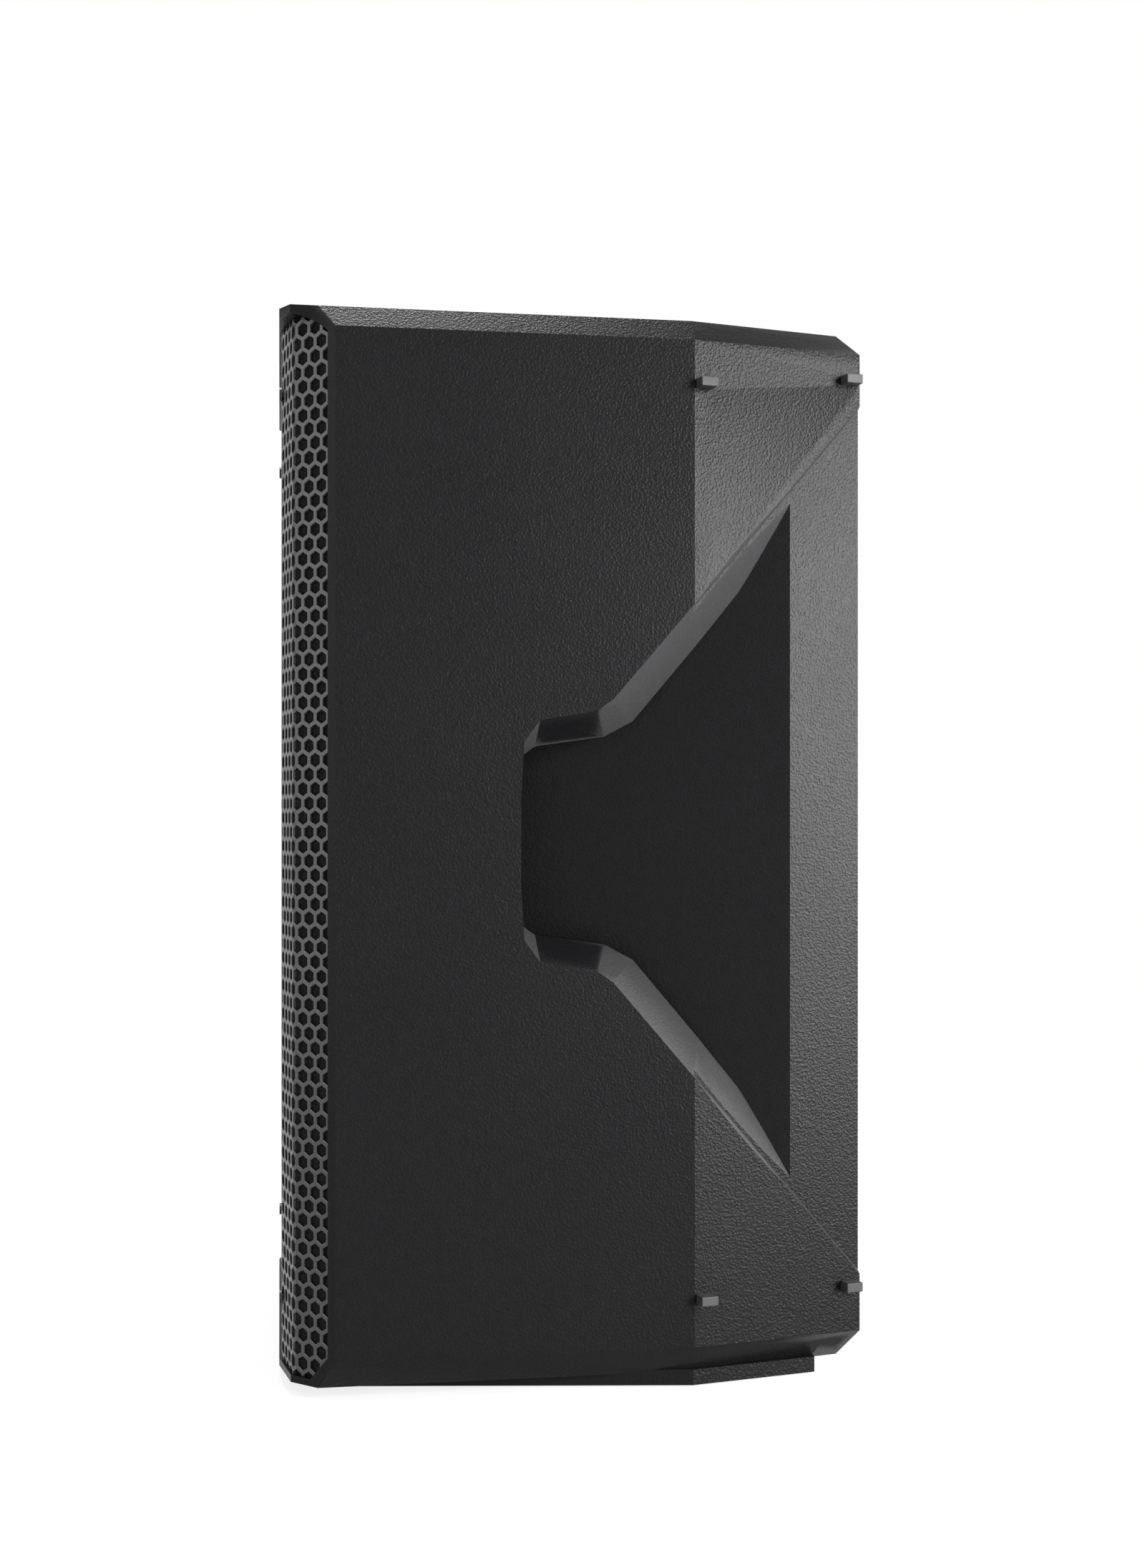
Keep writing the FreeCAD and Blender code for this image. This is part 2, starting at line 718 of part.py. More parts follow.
# Pads on the rear flank: each is a block turned to the taper, its root let into the flank.
def flank_pads(name, along, height):
    pad = doc.addObject("Part::Box", name)
    tie(pad, "Length", "pad_stand + pad_root")
    tie(pad, "Width", "pad_length")
    tie(pad, "Height", "pad_height")
    angle = "atan(%s)" % taper
    pad.Placement = Placement(Vector(), Rotation(Vector(0, 0, 1), value(angle)))
    tie(pad, "Placement.Rotation.Angle", angle)
    reach = "(%s)" % along
    tie(pad, "Placement.Base.x", "flank_half_width - %s * sin(%s) - pad_root * cos(%s)" % (reach, angle, angle))
    tie(pad, "Placement.Base.y", "crease_depth + %s * cos(%s) - pad_root * sin(%s)" % (reach, angle, angle))
    tie(pad, "Placement.Base.z", height)
    return pad


pad_places = [("pad_front_place", "pad_lower_height"), ("pad_front_place", "pad_front_upper_height"),
              ("pad_rear_place", "pad_lower_height"), ("pad_rear_place", "pad_rear_upper_height")]
right_pads = group("right_pad_blocks", [
    flank_pads("right_pad_%d" % i, along, height) for i, (along, height) in enumerate(pad_places)])
left_pads = mirrored("left_pad_blocks", right_pads)

tub_filled = fuse("tub_filled", [tub_hollow, grip_block, mirrored("grip_block_left", grip_block), panel_block,
                                 plinth])
tub_tools = fuse("tub_tools", [grip_opening, strip_hollow, mirrored("grip_opening_left", grip_opening),
                               mirrored("strip_hollow_left", strip_hollow), panel_recess, panel_opening,
                               pole_hole] + foot_recesses + insert_holes + panel_stems + pole_stems
                 + [right_pads, left_pads])
keep(cut("tub", tub_filled, tub_tools), "cabinet_shell")
keep(right_pads, "monitor_pads_right")
keep(left_pads, "monitor_pads_left")
keep(group("feet", [rod("foot_%d" % i, "foot_radius - seat_gap", "foot_recess + plinth_clearance",
                        (across, along, "0")) for i, (across, along) in enumerate(foot_places)]), "rubber_feet")

# The grip cups. Each floor is a ramp that starts level with the strip and dives behind the lip.
ramp_start = "(flank_half_width - strip_step - (floor_end - crease_depth) * %s)" % taper
ramp_end = "(flank_half_width - cup_depth)"
cup_contour = [("-cup_reach", "floor_lip_half_height")] + floor_contour[2:]


def above_ramp(name, drop):
    """The space outside the ramp, whose line is dropped by a wall for the cup's underside."""
    return extrusion(name, outline(name + "_plan", [
        (ramp_start + " - " + drop, "floor_end + " + drop),
        ("flank_half_width", "floor_end + " + drop),
        ("flank_half_width", "-cup_reach - " + drop),
        (ramp_end + " - " + drop, "-cup_reach - " + drop),
    ]), Vector(0, 0, 1), "body_top")


def cup_prism(name, contour):
    """The cup's contour drawn out from its deepest floor to the backing's inner face."""
    deepest = outline(name + "_contour", both_ends(contour), (ramp_end + " - cup_wall", "0", "0"), UPRIGHT)
    return extrusion(name, deepest, Vector(1, 0, 0), cup_face + " - " + ramp_end + " + cup_wall")


cup_contour_outside = [("-cup_reach - cup_wall", "floor_lip_half_height + cup_wall")]
cup_contour_outside += [(along + " + cup_wall", up + " + cup_wall") for along, up in floor_contour[2:]]
ramp_top = above_ramp("ramp_top", "0")
ramp_underside = above_ramp("ramp_underside", "cup_wall")
cup_outside = common("cup_outside", cup_prism("cup_outer_prism", cup_contour_outside), ramp_underside)
cup_inside = common("cup_inside", cup_prism("cup_inner_prism", cup_contour), ramp_top)
cup_tray = cut("cup_tray", cup_outside, cup_inside)
cup_plate = cut("cup_plate", common("cup_plate_blank", grip_opening, ramp_underside), ramp_top)
right_cup = keep(fuse("right_cup", [cup_tray, cup_plate]), "grip_cup_right")
keep(mirrored("left_cup", right_cup), "grip_cup_left")


# Fasteners of the front: each set stands on the face that it clamps.
baffle_face = "-baffle_front_depth"
WOOFER_BOLT_COUNT = 8
woofer_bolt_places = [("woofer_bolt_circle * cos(%g)" % angle,
                       baffle_face + " - flange_thickness - roll_wall - gasket_thickness",
                       "woofer_height + woofer_bolt_circle * sin(%g)" % angle)
                      for angle in spread_angles(WOOFER_BOLT_COUNT)]
woofer_stems = screw_set("woofer_bolts", woofer_bolt_places, FACING_FRONT, "woofer_bolt_head",
                         "woofer_bolt_head_height", "woofer_bolt_radius", "woofer_bolt_length")
horn_screw_places = [(across, baffle_face + " - horn_flange_thickness", "horn_height + " + up)
                     for across in ("horn_half_width + horn_flange_width / 2 + horn_wall",
                                    "-horn_half_width - horn_flange_width / 2 - horn_wall")
                     for up in ("horn_half_height / 2", "(-horn_half_height / 2)")]
horn_stems = screw_set("horn_screws", horn_screw_places, FACING_FRONT, "small_screw_head",
                       "small_screw_head_height", "small_screw_radius", "small_screw_length")
grille_screw_places = [(side + "grille_screw_spread", "-front_depth + grille_setback", up) for side in ("", "-")
                       for up in ("body_base + grille_screw_height", "body_top - grille_screw_height")]
grille_stems = screw_set("grille_screws", grille_screw_places, FACING_FRONT, "small_screw_head",
                         "small_screw_head_height", "small_screw_radius",
                         "front_depth - grille_setback - baffle_front_depth + small_screw_length")

# The grille and its foam are sheets folded along the front lip.
face_run = "(shoulder_half_width - face_half_width)"
wing_run = "(flank_half_width - shoulder_half_width)"
shoulder_turn = "atan((front_depth - shoulder_depth) / %s)" % face_run
wing_turn = "atan((shoulder_depth - wing_end_depth) / %s)" % wing_run
mean_turn = "((%s + %s) / 2)" % (shoulder_turn, wing_turn)
half_fold = "((%s - %s) / 2)" % (wing_turn, shoulder_turn)


def folded_line(setback):
    """The right half of the front lip's line, moved back evenly: face edge, shoulder, end of the wing."""
    shoulder_in = "(%s) * sin(%s) / cos(%s)" % (setback, mean_turn, half_fold)
    shoulder_back = "(%s) * cos(%s) / cos(%s)" % (setback, mean_turn, half_fold)
    return [
        ("face_half_width - (%s) * tan(%s / 2)" % (setback, shoulder_turn), "-front_depth + (%s)" % setback),
        ("shoulder_half_width - %s" % shoulder_in, "-shoulder_depth + %s" % shoulder_back),
        ("flank_half_width", "-shoulder_depth + %s + (%s + %s) * tan(%s)" % (
            shoulder_back, wing_run, shoulder_in, wing_turn)),
    ]


def folded_plan(outer, inner):
    """A sheet between two setbacks from the front lip, folded at the face and the shoulders."""
    front, rear = folded_line(outer), folded_line(inner)
    other_front, other_rear = [[("-(%s)" % across, up) for across, up in line] for line in (front, rear)]
    return list(reversed(other_front)) + front + list(reversed(rear)) + other_rear


def folded_sheet(label, outer, inner):
    """A folded sheet trimmed to the tub's mouth and drilled for the grille's screws."""
    sheet_plan = outline(label + "_plan", folded_plan(outer, inner), ("0", "0", "body_base"))
    blank = extrusion(label + "_blank", sheet_plan, Vector(0, 0, 1), "body_top - body_base")
    return drilled(label, common(label + "_sheet", blank, tub_cavity), grille_stems)


grille_back = "grille_setback + grille_sheet"
foam_back = grille_back + " + foam_sheet"
folded_sheet("grille", "grille_setback", grille_back)
folded_sheet("grille_foam", grille_back, foam_back)

# The baffle closes the tub's front behind the foam.
baffle_low = "body_base + lower_chamfer_rise + lip_wall / 2"
baffle_high = "body_top - upper_chamfer_rise - lip_wall / 2"
baffle_half = "flank_half_width - tub_wall"
baffle_corners = [
    ("-(%s) + chamfer_inset" % baffle_half, "body_base + lip_wall"),
    (baffle_half + " - chamfer_inset", "body_base + lip_wall"),
    (baffle_half, baffle_low), (baffle_half, baffle_high),
    (baffle_half + " - chamfer_inset", "body_top - lip_wall"),
    ("-(%s) + chamfer_inset" % baffle_half, "body_top - lip_wall"),
    ("-(%s)" % baffle_half, baffle_high), ("-(%s)" % baffle_half, baffle_low),
]
woofer_hole = ("0", "woofer_height", "basket_outer_radius + baffle_gap")
port_holes = [(side + "port_spread", "port_height", "port_radius + port_wall") for side in ("", "-")]
horn_hole = rectangle("horn_half_width + horn_wall + baffle_gap", "horn_half_height + horn_wall + baffle_gap",
                      "0", "horn_height")
baffle_blank = padded_plate("baffle", baffle_corners, [woofer_hole, horn_hole] + port_holes, "baffle_thickness",
                            ("0", "-baffle_front_depth + baffle_thickness", "0"), FACING_FRONT)
drilled("front_baffle", baffle_blank, woofer_stems + horn_stems + grille_stems)

# The cone driver. Heights are measured forward from the baffle's face.
woofer_place = ("0", baffle_face, "woofer_height")
rim = "flange_thickness"
basket_inner = "basket_back_radius - basket_wall"
drilled("woofer_basket", turned("basket", [
    ("flange_radius", "0"), ("flange_radius", "flange_thickness"), ("basket_seat_radius", "flange_thickness"),
    ("basket_seat_radius", "0"), (basket_inner, "-basket_depth + basket_wall"),
    ("basket_bore_radius", "-basket_depth + basket_wall"), ("basket_bore_radius", "-basket_depth"),
    ("basket_back_radius", "-basket_depth"), ("basket_outer_radius", "0"),
], woofer_place), woofer_stems)
top_plate_back = "-basket_depth - top_plate_thickness"
magnet_back = top_plate_back + " - magnet_thickness"
keep(turned("top_plate", [
    ("gap_radius", top_plate_back), ("top_plate_radius", top_plate_back),
    ("top_plate_radius", "-basket_depth"),
    ("gap_radius", "-basket_depth")], woofer_place), "woofer_top_plate")
keep(turned("magnet", [
    ("magnet_bore_radius", magnet_back), ("magnet_radius", magnet_back), ("magnet_radius", top_plate_back),
    ("magnet_bore_radius", top_plate_back)], woofer_place), "woofer_magnet")
back_plate_back = magnet_back + " - back_plate_thickness"
keep(turned("back_plate", [
    ("0", back_plate_back), ("top_plate_radius", back_plate_back),
    ("top_plate_radius", magnet_back), ("pole_radius", magnet_back), ("pole_radius", "-basket_depth"),
    ("0", "-basket_depth")], woofer_place), "woofer_back_plate")
former_outer = "former_radius + former_wall"
coil_middle = "-basket_depth - top_plate_thickness / 2"
former_top = "-cone_neck_depth + cone_neck_wall"
keep(turned("coil", [
    ("former_radius", former_top + " - former_length"), (former_outer, former_top + " - former_length"),
    (former_outer, coil_middle + " - winding_length / 2"),
    (former_outer + " + winding_wall", coil_middle + " - winding_length / 2"),
    (former_outer + " + winding_wall", coil_middle + " + winding_length / 2"),
    (former_outer, coil_middle + " + winding_length / 2"),
    (former_outer, former_top), ("former_radius", former_top)], woofer_place), "voice_coil")
cone_land = "cone_rim_radius - cone_rim_land"
keep(turned("cone", [
    (former_outer, "-cone_neck_depth"), (cone_land, rim + " - cone_rim_wall"),
    ("cone_rim_radius", rim + " - cone_rim_wall"), ("cone_rim_radius", rim), (cone_land, rim),
    (former_outer, "-cone_neck_depth + cone_neck_wall")], woofer_place), "woofer_cone")
cone_slope = "(flange_thickness + cone_neck_depth - cone_neck_wall) / (%s - %s)" % (
    cone_land, former_outer.replace("+", "-"))
cap_foot = "(-cone_neck_depth + cone_neck_wall + (dust_cap_radius - former_radius - former_wall) * %s)" % (
    cone_slope)
# Points on the dust cap's dome, as shares of its radius and of its rise.
DOME_POINTS = ((1, 0), (0.8, 0.55), (0.45, 0.9), (0, 1))
dome_outside = [("%g * dust_cap_radius" % out, "%s + %g * dust_cap_rise" % (cap_foot, up))
                for out, up in DOME_POINTS]
dome_inside = [("%g * (dust_cap_radius - dust_cap_wall)" % out,
                "%s + %g * (dust_cap_rise - dust_cap_wall)" % (cap_foot, up))
               for out, up in reversed(DOME_POINTS)]
keep(turned("cap", dome_outside + dome_inside, woofer_place), "dust_cap")
roll_middle = "(cone_rim_radius + roll_radius - roll_wall + roll_gap)"


def roll_point(radius, angle):
    """A corner on the surround's half roll, at an angle from its inner edge."""
    return ("%s - (%s) * cos(%g)" % (roll_middle, radius, angle),
            "%s + (%s) * sin(%g)" % (rim, radius, angle))


roll_angles = (15, 40, 65, 90, 115, 140, 165)
land_top = rim + " + roll_wall"
surround_profile = [(cone_land, rim), (cone_land, land_top), (roll_middle + " - roll_radius", land_top)]
surround_profile += [roll_point("roll_radius", angle) for angle in roll_angles]
surround_profile += [(roll_middle + " + roll_radius", land_top), ("surround_radius", land_top),
                     ("surround_radius", rim)]
surround_profile += [roll_point("roll_radius - roll_wall", angle)
                     for angle in reversed((0,) + roll_angles + (180,))]
drilled("woofer_surround", turned("surround", surround_profile, woofer_place), woofer_stems)
spider_top = "-cone_neck_depth - spider_drop"
basket_lean = "(basket_seat_radius - basket_back_radius + basket_wall) / (basket_depth - basket_wall)"
spider_edge = "(basket_seat_radius + (%s - spider_wall) * %s - seat_gap)" % (spider_top, basket_lean)
keep(turned("spider", [
    (former_outer + " + seat_gap", spider_top + " - spider_wall"), (spider_edge, spider_top + " - spider_wall"),
    (spider_edge, spider_top), (former_outer + " + seat_gap", spider_top)], woofer_place), "woofer_spider")
gasket_base = rim + " + roll_wall"
drilled("woofer_gasket", turned("woofer_ring", [
    ("gasket_inner_radius", gasket_base), ("surround_radius", gasket_base), ("surround_radius", rim),
    ("flange_radius", rim), ("flange_radius", gasket_base + " + gasket_thickness"),
    ("gasket_inner_radius", gasket_base + " + gasket_thickness")], woofer_place), woofer_stems)

# The horn: a flare from a wide mouth to the driver's throat, on a flange that lies on the baffle.
HORN_SECTIONS = [
    ("mouth", "horn_half_width", "horn_half_height", "0"),
    ("waist", "horn_waist_half_width", "horn_waist_half_height", "horn_waist_depth"),
    ("throat", "throat_half_width", "throat_half_width", "horn_depth"),
]


def horn_solid(name, extra, front, back):
    """The flare's solid, grown sideways by a wall and drawn out at its mouth and throat."""
    runs = {"mouth": "-(%s)" % front, "waist": "0", "throat": back}
    return loft(name, [outline(
        "%s_%s" % (name, part), rectangle("%s + %s" % (half_width, extra), "%s + %s" % (half_height, extra)),
        ("0", "%s + %s + %s" % (baffle_face, depth, runs[part]), "horn_height"), FACING_FRONT)
        for part, half_width, half_height, depth in HORN_SECTIONS])


horn_flange = box("horn_flange", (
    "2 * (horn_half_width + horn_wall + horn_flange_width)", "horn_flange_thickness",
    "2 * (horn_half_height + horn_wall + horn_flange_width)"), (
    "-horn_half_width - horn_wall - horn_flange_width", baffle_face + " - horn_flange_thickness",
    "horn_height - horn_half_height - horn_wall - horn_flange_width"))
horn_outside = fuse("horn_outside", [horn_solid("horn_outer", "horn_wall", "0", "0"), horn_flange])
drilled("horn_flare", cut("horn", horn_outside, horn_solid("horn_bore", "0", "horn_flange_thickness", "0")),
        horn_stems)
throat_face = "-baffle_front_depth + horn_depth"
keep(rod("compression", "compression_radius", "compression_length",
         ("0", throat_face, "horn_height"), FACING_BACK), "compression_driver")
keep(rod("compression_cap", "compression_cap_radius", "compression_cap_length",
         ("0", throat_face + " + compression_length", "horn_height"), FACING_BACK), "compression_driver_cap")

# The bass ports are tubes flanged onto the baffle.
for side, label in (("", "port_tube_right"), ("-", "port_tube_left")):
    keep(turned(label + "_body", [
        ("port_radius", "-port_length"), ("port_radius + port_wall", "-port_length"),
        ("port_radius + port_wall", "0"), ("port_flange_radius", "0"),
        ("port_flange_radius", "port_flange_thickness"), ("port_radius", "port_flange_thickness"),
    ], (side + "port_spread", baffle_face, "port_height")), label)

# The amplifier panel and what is fixed to it
columns = {"right": "column_pitch", "middle": "0", "left": "-column_pitch"}
button_hole = "button_width / 2 + button_gap"
panel_holes = []
for side in ("right", "middle", "left"):
    panel_holes.append((columns[side], "-socket_row", "socket_barrel_radius"))
    panel_holes.append((columns[side], "knob_row", "shaft_radius + 2 * knob_clearance"))
    panel_holes.append(rectangle(button_hole, button_hole, columns[side], "-button_row"))
panel_holes.append(rectangle("inlet_well_half_width + inlet_flange", "inlet_well_half_height + inlet_flange",
                             "-inlet_place", "-mains_row"))
frame_half_width = "rocker_half_width + rocker_gap + rocker_frame_stand"
frame_half_height = "rocker_half_height + rocker_end_gap + rocker_frame_stand"
panel_holes.append(rectangle(frame_half_width, frame_half_height, "rocker_place", "-mains_row"))
panel_holes.append(("lamp_place", "-mains_row", "lamp_radius"))
# Seen along +Y the sheet's own Y points up only when it is padded towards the front, so it starts outside.
keep(padded_plate("panel", rectangle("panel_half_width", "panel_half_height"), panel_holes + screw_holes,
                  "panel_sheet", ("0", panel_outer, "panel_height"), FACING_FRONT), "amp_panel")
keep(padded_plate("panel_seal", rectangle("panel_half_width", "panel_half_height"), [
    rectangle("panel_half_width - ledge_width + panel_clearance", "panel_half_height - ledge_width"
              " + panel_clearance")] + screw_holes,
    "gasket_sheet", ("0", panel_inner, "panel_height"), FACING_FRONT), "amp_panel_gasket")

fin_count = 1 + 2 * int(value("(sink_half_width - fin_thickness / 2) / fin_pitch"))
sink_base = box("sink_base", ("2 * sink_half_width", "sink_base_thickness", "2 * sink_half_height"),
                ("-sink_half_width", panel_outer, "panel_height + sink_place - sink_half_height"))
fins = [box("fin_%d" % i, ("fin_thickness", "fin_height", "2 * sink_half_height"),
            ("%d * fin_pitch - fin_thickness / 2" % (i - fin_count // 2),
             panel_outer + " + sink_base_thickness", "panel_height + sink_place - sink_half_height"))
        for i in range(fin_count)]
keep(fuse("sink", [sink_base] + fins), "heat_sink")

board_face = "(%s - board_gap)" % panel_inner
standoffs = [("board_half_width - 2 * standoff_radius", "board_half_height - 2 * standoff_radius"),
             ("-board_half_width + 2 * standoff_radius", "board_half_height - 2 * standoff_radius"),
             ("board_half_width - 2 * standoff_radius", "-board_half_height + 2 * standoff_radius"),
             ("-board_half_width + 2 * standoff_radius", "-board_half_height + 2 * standoff_radius")]
keep(box("board", ("2 * board_half_width", "board_sheet", "2 * board_half_height"),
         ("-board_half_width", board_face + " - board_sheet", "panel_height - board_half_height")), "amp_board")
keep(group("standoffs", [rod("standoff_%d" % i, "standoff_radius", "board_gap",
                             (across, board_face, "panel_height + " + up), FACING_BACK)
                         for i, (across, up) in enumerate(standoffs)]), "board_standoffs")
keep(turned("transformer", rectangle(
    "(transformer_radius - transformer_bore) / 2", "transformer_thickness / 2",
    "(transformer_radius + transformer_bore) / 2", "transformer_thickness / 2"),
    ("0", board_face + " - board_sheet", "panel_height + transformer_place")), "toroidal_transformer")


# Sockets: a square flange outside the panel and a barrel through it.
def socket_blank(name, across):
    flange = box(name + "_flange", ("socket_flange_width", "socket_flange_thickness", "socket_flange_height"),
                 (across + " - socket_flange_width / 2", panel_outer,
                  "panel_height - socket_row - socket_flange_height / 2"))
    barrel = rod(name + "_barrel", "socket_barrel_radius", "socket_barrel_length",
                 (across, panel_outer, "panel_height - socket_row"), FACING_FRONT)
    return fuse(name + "_blank", [flange, barrel])


socket_face = panel_outer + " + socket_flange_thickness"
latch_place = "panel_height - socket_row + socket_barrel_radius - latch_height - 2 * latch_gap"


CONTACT_ANGLES = (0, 180, 270)


def contact_places(across, circle):
    """Three contacts round a socket's middle: two beside and one below."""
    return [(across + " + %s * cos(%g)" % (circle, angle), "panel_height - socket_row + %s * sin(%g)"
             % (circle, angle)) for angle in CONTACT_ANGLES]


for side, label in (("right", "combo_input_1"), ("middle", "combo_input_2")):
    across = columns[side]
    tools = [rod(label + "_jack", "jack_radius", "jack_length", (across, socket_face, "panel_height - socket_row"),
                 FACING_FRONT)]
    tools += [rod("%s_contact_%d" % (label, i), "contact_radius", "contact_depth", (spot, socket_face, up),
                  FACING_FRONT) for i, (spot, up) in enumerate(contact_places(across, "contact_circle"))]
    tools.append(box(label + "_latch_slot", (
        "latch_width + 2 * latch_gap", "latch_stand + 2 * latch_gap",
        "latch_height + latch_travel + 2 * latch_gap"), (
        across + " - latch_width / 2 - latch_gap", socket_face + " - latch_stand - latch_gap",
        latch_place + " - latch_travel - latch_gap")))
    keep(cut(label + "_socket", socket_blank(label, across), fuse(label + "_tools", tools)), label)
    keep(box(label + "_tab", ("latch_width", "latch_stand", "latch_height"),
             (across + " - latch_width / 2", socket_face + " - latch_stand + 2 * latch_gap", latch_place)),
         "latch_tab_" + label[-1])

across = columns["left"]
keep(cut("mix_socket", socket_blank("mix_output", across),
         rod("mix_well", "plug_well_radius", "plug_well_depth", (across, socket_face, "panel_height - socket_row"),
             FACING_FRONT)), "mix_output")
keep(group("mix_pins", [rod("mix_pin_%d" % i, "contact_radius", "contact_depth",
                            (spot, socket_face + " - plug_well_depth", up), FACING_BACK)
                        for i, (spot, up) in enumerate(contact_places(across, "contact_circle / 2"))]),
     "mix_output_pins")


# Knobs: a tapered grip with a pointer, on a shaft that runs in the pot behind the panel.
def knob(label, across):
    body = turned(label + "_body", [
        ("0", "-panel_sheet - pot_length + 2 * knob_clearance"),
        ("shaft_radius", "-panel_sheet - pot_length + 2 * knob_clearance"),
        ("shaft_radius", "knob_clearance"), ("knob_radius", "knob_clearance"),
        ("knob_radius", "knob_clearance + knob_length / 4"), ("knob_top_radius", "knob_length"),
        ("0", "knob_length"),
    ], (across, panel_outer, "panel_height + knob_row"), FACING_BACK)
    sketch = sketch_in(body, label + "_pointer_outline", "XY_Plane")
    draw_polygon(sketch, [("-pointer_width / 2", "-knob_top_radius"), ("pointer_width / 2", "-knob_top_radius"),
                          ("pointer_width / 2", "0"), ("-pointer_width / 2", "0")])
    pad = body.newObject("PartDesign::Pad", label + "_pointer")
    pad.Profile = sketch
    tie(pad, "Length", "knob_length + pointer_height")
    body.Tip = pad
    return keep(body, label)


knob("gain_knob_1", columns["right"])
knob("gain_knob_2", columns["middle"])
knob("master_knob", columns["left"])
pots = []
for side, across in columns.items():
    case = box("pot_case_" + side, ("2 * pot_half_width", "pot_length", "2 * pot_half_width"),
               (across + " - pot_half_width", panel_inner + " - pot_length",
                "panel_height + knob_row - pot_half_width"))
    bore = rod("pot_bore_" + side, "shaft_radius + shaft_clearance", "pot_length",
               (across, panel_inner, "panel_height + knob_row"), FACING_FRONT)
    pots.append(cut("pot_" + side, case, bore))
keep(group("pots", pots), "potentiometers")

# Push buttons, and the switches behind them
switches = []
for side, label in (("right", "line_button_1"), ("middle", "line_button_2"), ("left", "contour_button")):
    across = columns[side]
    keep(box(label + "_cap", ("button_width", "button_stand + panel_sheet + button_root", "button_width"),
             (across + " - button_width / 2", panel_inner + " - button_root",
              "panel_height - button_row - button_width / 2")), label)
    switches.append(box(label + "_switch", (
        "2 * switch_body_half_width", "switch_body_length", "2 * switch_body_half_width"), (
        across + " - switch_body_half_width", panel_inner + " - button_root - button_travel - seat_gap"
        " - switch_body_length", "panel_height - button_row - switch_body_half_width")))
keep(group("switches", switches), "button_switches")

# The mains inlet: a flanged box with three pins in its well.
inlet_middle = "panel_height - mains_row"
inlet_blank = fuse("inlet_blank", [
    box("inlet_plate", ("2 * inlet_half_width", "inlet_flange", "2 * inlet_half_height"),
        ("-inlet_place - inlet_half_width", panel_outer, inlet_middle + " - inlet_half_height")),
    box("inlet_box", ("2 * (inlet_well_half_width + inlet_flange)", "inlet_body_depth + inlet_flange",
                      "2 * (inlet_well_half_height + inlet_flange)"),
        ("-inlet_place - inlet_well_half_width - inlet_flange", panel_outer + " - inlet_body_depth",
         inlet_middle + " - inlet_well_half_height - inlet_flange"))])
inlet_well = box("inlet_well", ("2 * inlet_well_half_width", "inlet_well_depth", "2 * inlet_well_half_height"),
                 ("-inlet_place - inlet_well_half_width", panel_outer + " + inlet_flange - inlet_well_depth",
                  inlet_middle + " - inlet_well_half_height"))
keep(cut("inlet", inlet_blank, inlet_well), "mains_inlet")
inlet_floor = panel_outer + " + inlet_flange - inlet_well_depth"
keep(group("inlet_blades", [
    box("inlet_pin_%d" % i, ("inlet_pin_width", "inlet_pin_length", "inlet_pin_height"),
        ("-inlet_place + %s - inlet_pin_width / 2" % across, inlet_floor,
         "%s + %s - inlet_pin_height / 2" % (inlet_middle, up)))
    for i, (across, up) in enumerate([("inlet_pin_spread", "0"), ("(-inlet_pin_spread)", "0"),
                                      ("0", "inlet_earth_rise")])]), "mains_inlet_pins")

# The power rocker, tilted to its off side at rest, in a frame that carries its pivot pin.
rocker_pivot = panel_outer + " - rocker_pin_radius - rocker_stand"
rocker_frame_blank = fuse("rocker_frame_blank", [
    box("rocker_bezel", ("2 * (rocker_half_width + rocker_gap + rocker_frame_border)", "rocker_frame_stand",
                         "2 * (rocker_half_height + rocker_end_gap + rocker_frame_border)"),
        ("rocker_place - rocker_half_width - rocker_gap - rocker_frame_border", panel_outer,
         inlet_middle + " - rocker_half_height - rocker_end_gap - rocker_frame_border")),
    box("rocker_case", ("2 * (%s)" % frame_half_width, "rocker_frame_depth + rocker_frame_stand",
                        "2 * (%s)" % frame_half_height),
        ("rocker_place - rocker_half_width - rocker_gap - rocker_frame_stand",
         panel_outer + " - rocker_frame_depth",
         inlet_middle + " - rocker_half_height - rocker_end_gap - rocker_frame_stand"))])
rocker_well = box("rocker_well", (
    "2 * (rocker_half_width + rocker_gap)", "rocker_frame_depth", "2 * (rocker_half_height + rocker_end_gap)"), (
    "rocker_place - rocker_half_width - rocker_gap",
    panel_outer + " + rocker_frame_stand * 2 - rocker_frame_depth",
    inlet_middle + " - rocker_half_height - rocker_end_gap"))
sideways = Rotation(Vector(0, 1, 0), 90)
rocker_pin = rod("rocker_pin", "rocker_pin_radius", "2 * (rocker_half_width + rocker_gap)",
                 ("rocker_place - rocker_half_width - rocker_gap", rocker_pivot, inlet_middle), sideways)
rocker_case = cut("rocker_frame_case", rocker_frame_blank, rocker_well)
keep(fuse("rocker_frame", [rocker_case, rocker_pin]), "switch_frame")
rocker_profile = outline("rocker_profile", [
    ("rocker_pin_radius + rocker_stand - rocker_depth + rocker_root_lift", "-rocker_half_height / 2"),
    ("rocker_pin_radius + rocker_stand + rocker_frame_stand", "-rocker_half_height"),
    ("rocker_pin_radius + rocker_stand + rocker_frame_stand / 2", "0"),
    ("rocker_pin_radius + rocker_stand + rocker_frame_stand", "rocker_half_height"),
    ("rocker_pin_radius + rocker_stand - rocker_depth + rocker_root_lift", "rocker_half_height / 2"),
], ("-rocker_half_width", "0", "0"), UPRIGHT)
rocker_blank = extrusion("rocker_blank", rocker_profile, Vector(1, 0, 0), "2 * rocker_half_width")
rocker_bore = rod("rocker_bore", "rocker_pin_radius + shaft_clearance", "4 * rocker_half_width",
                  ("-2 * rocker_half_width", "0", "0"), sideways)
rocker = cut("rocker", rocker_blank, rocker_bore)
rocker.Placement = Placement(Vector(), Rotation(Vector(1, 0, 0), value("rocker_tilt")))
tie(rocker, "Placement.Rotation.Angle", "rocker_tilt")
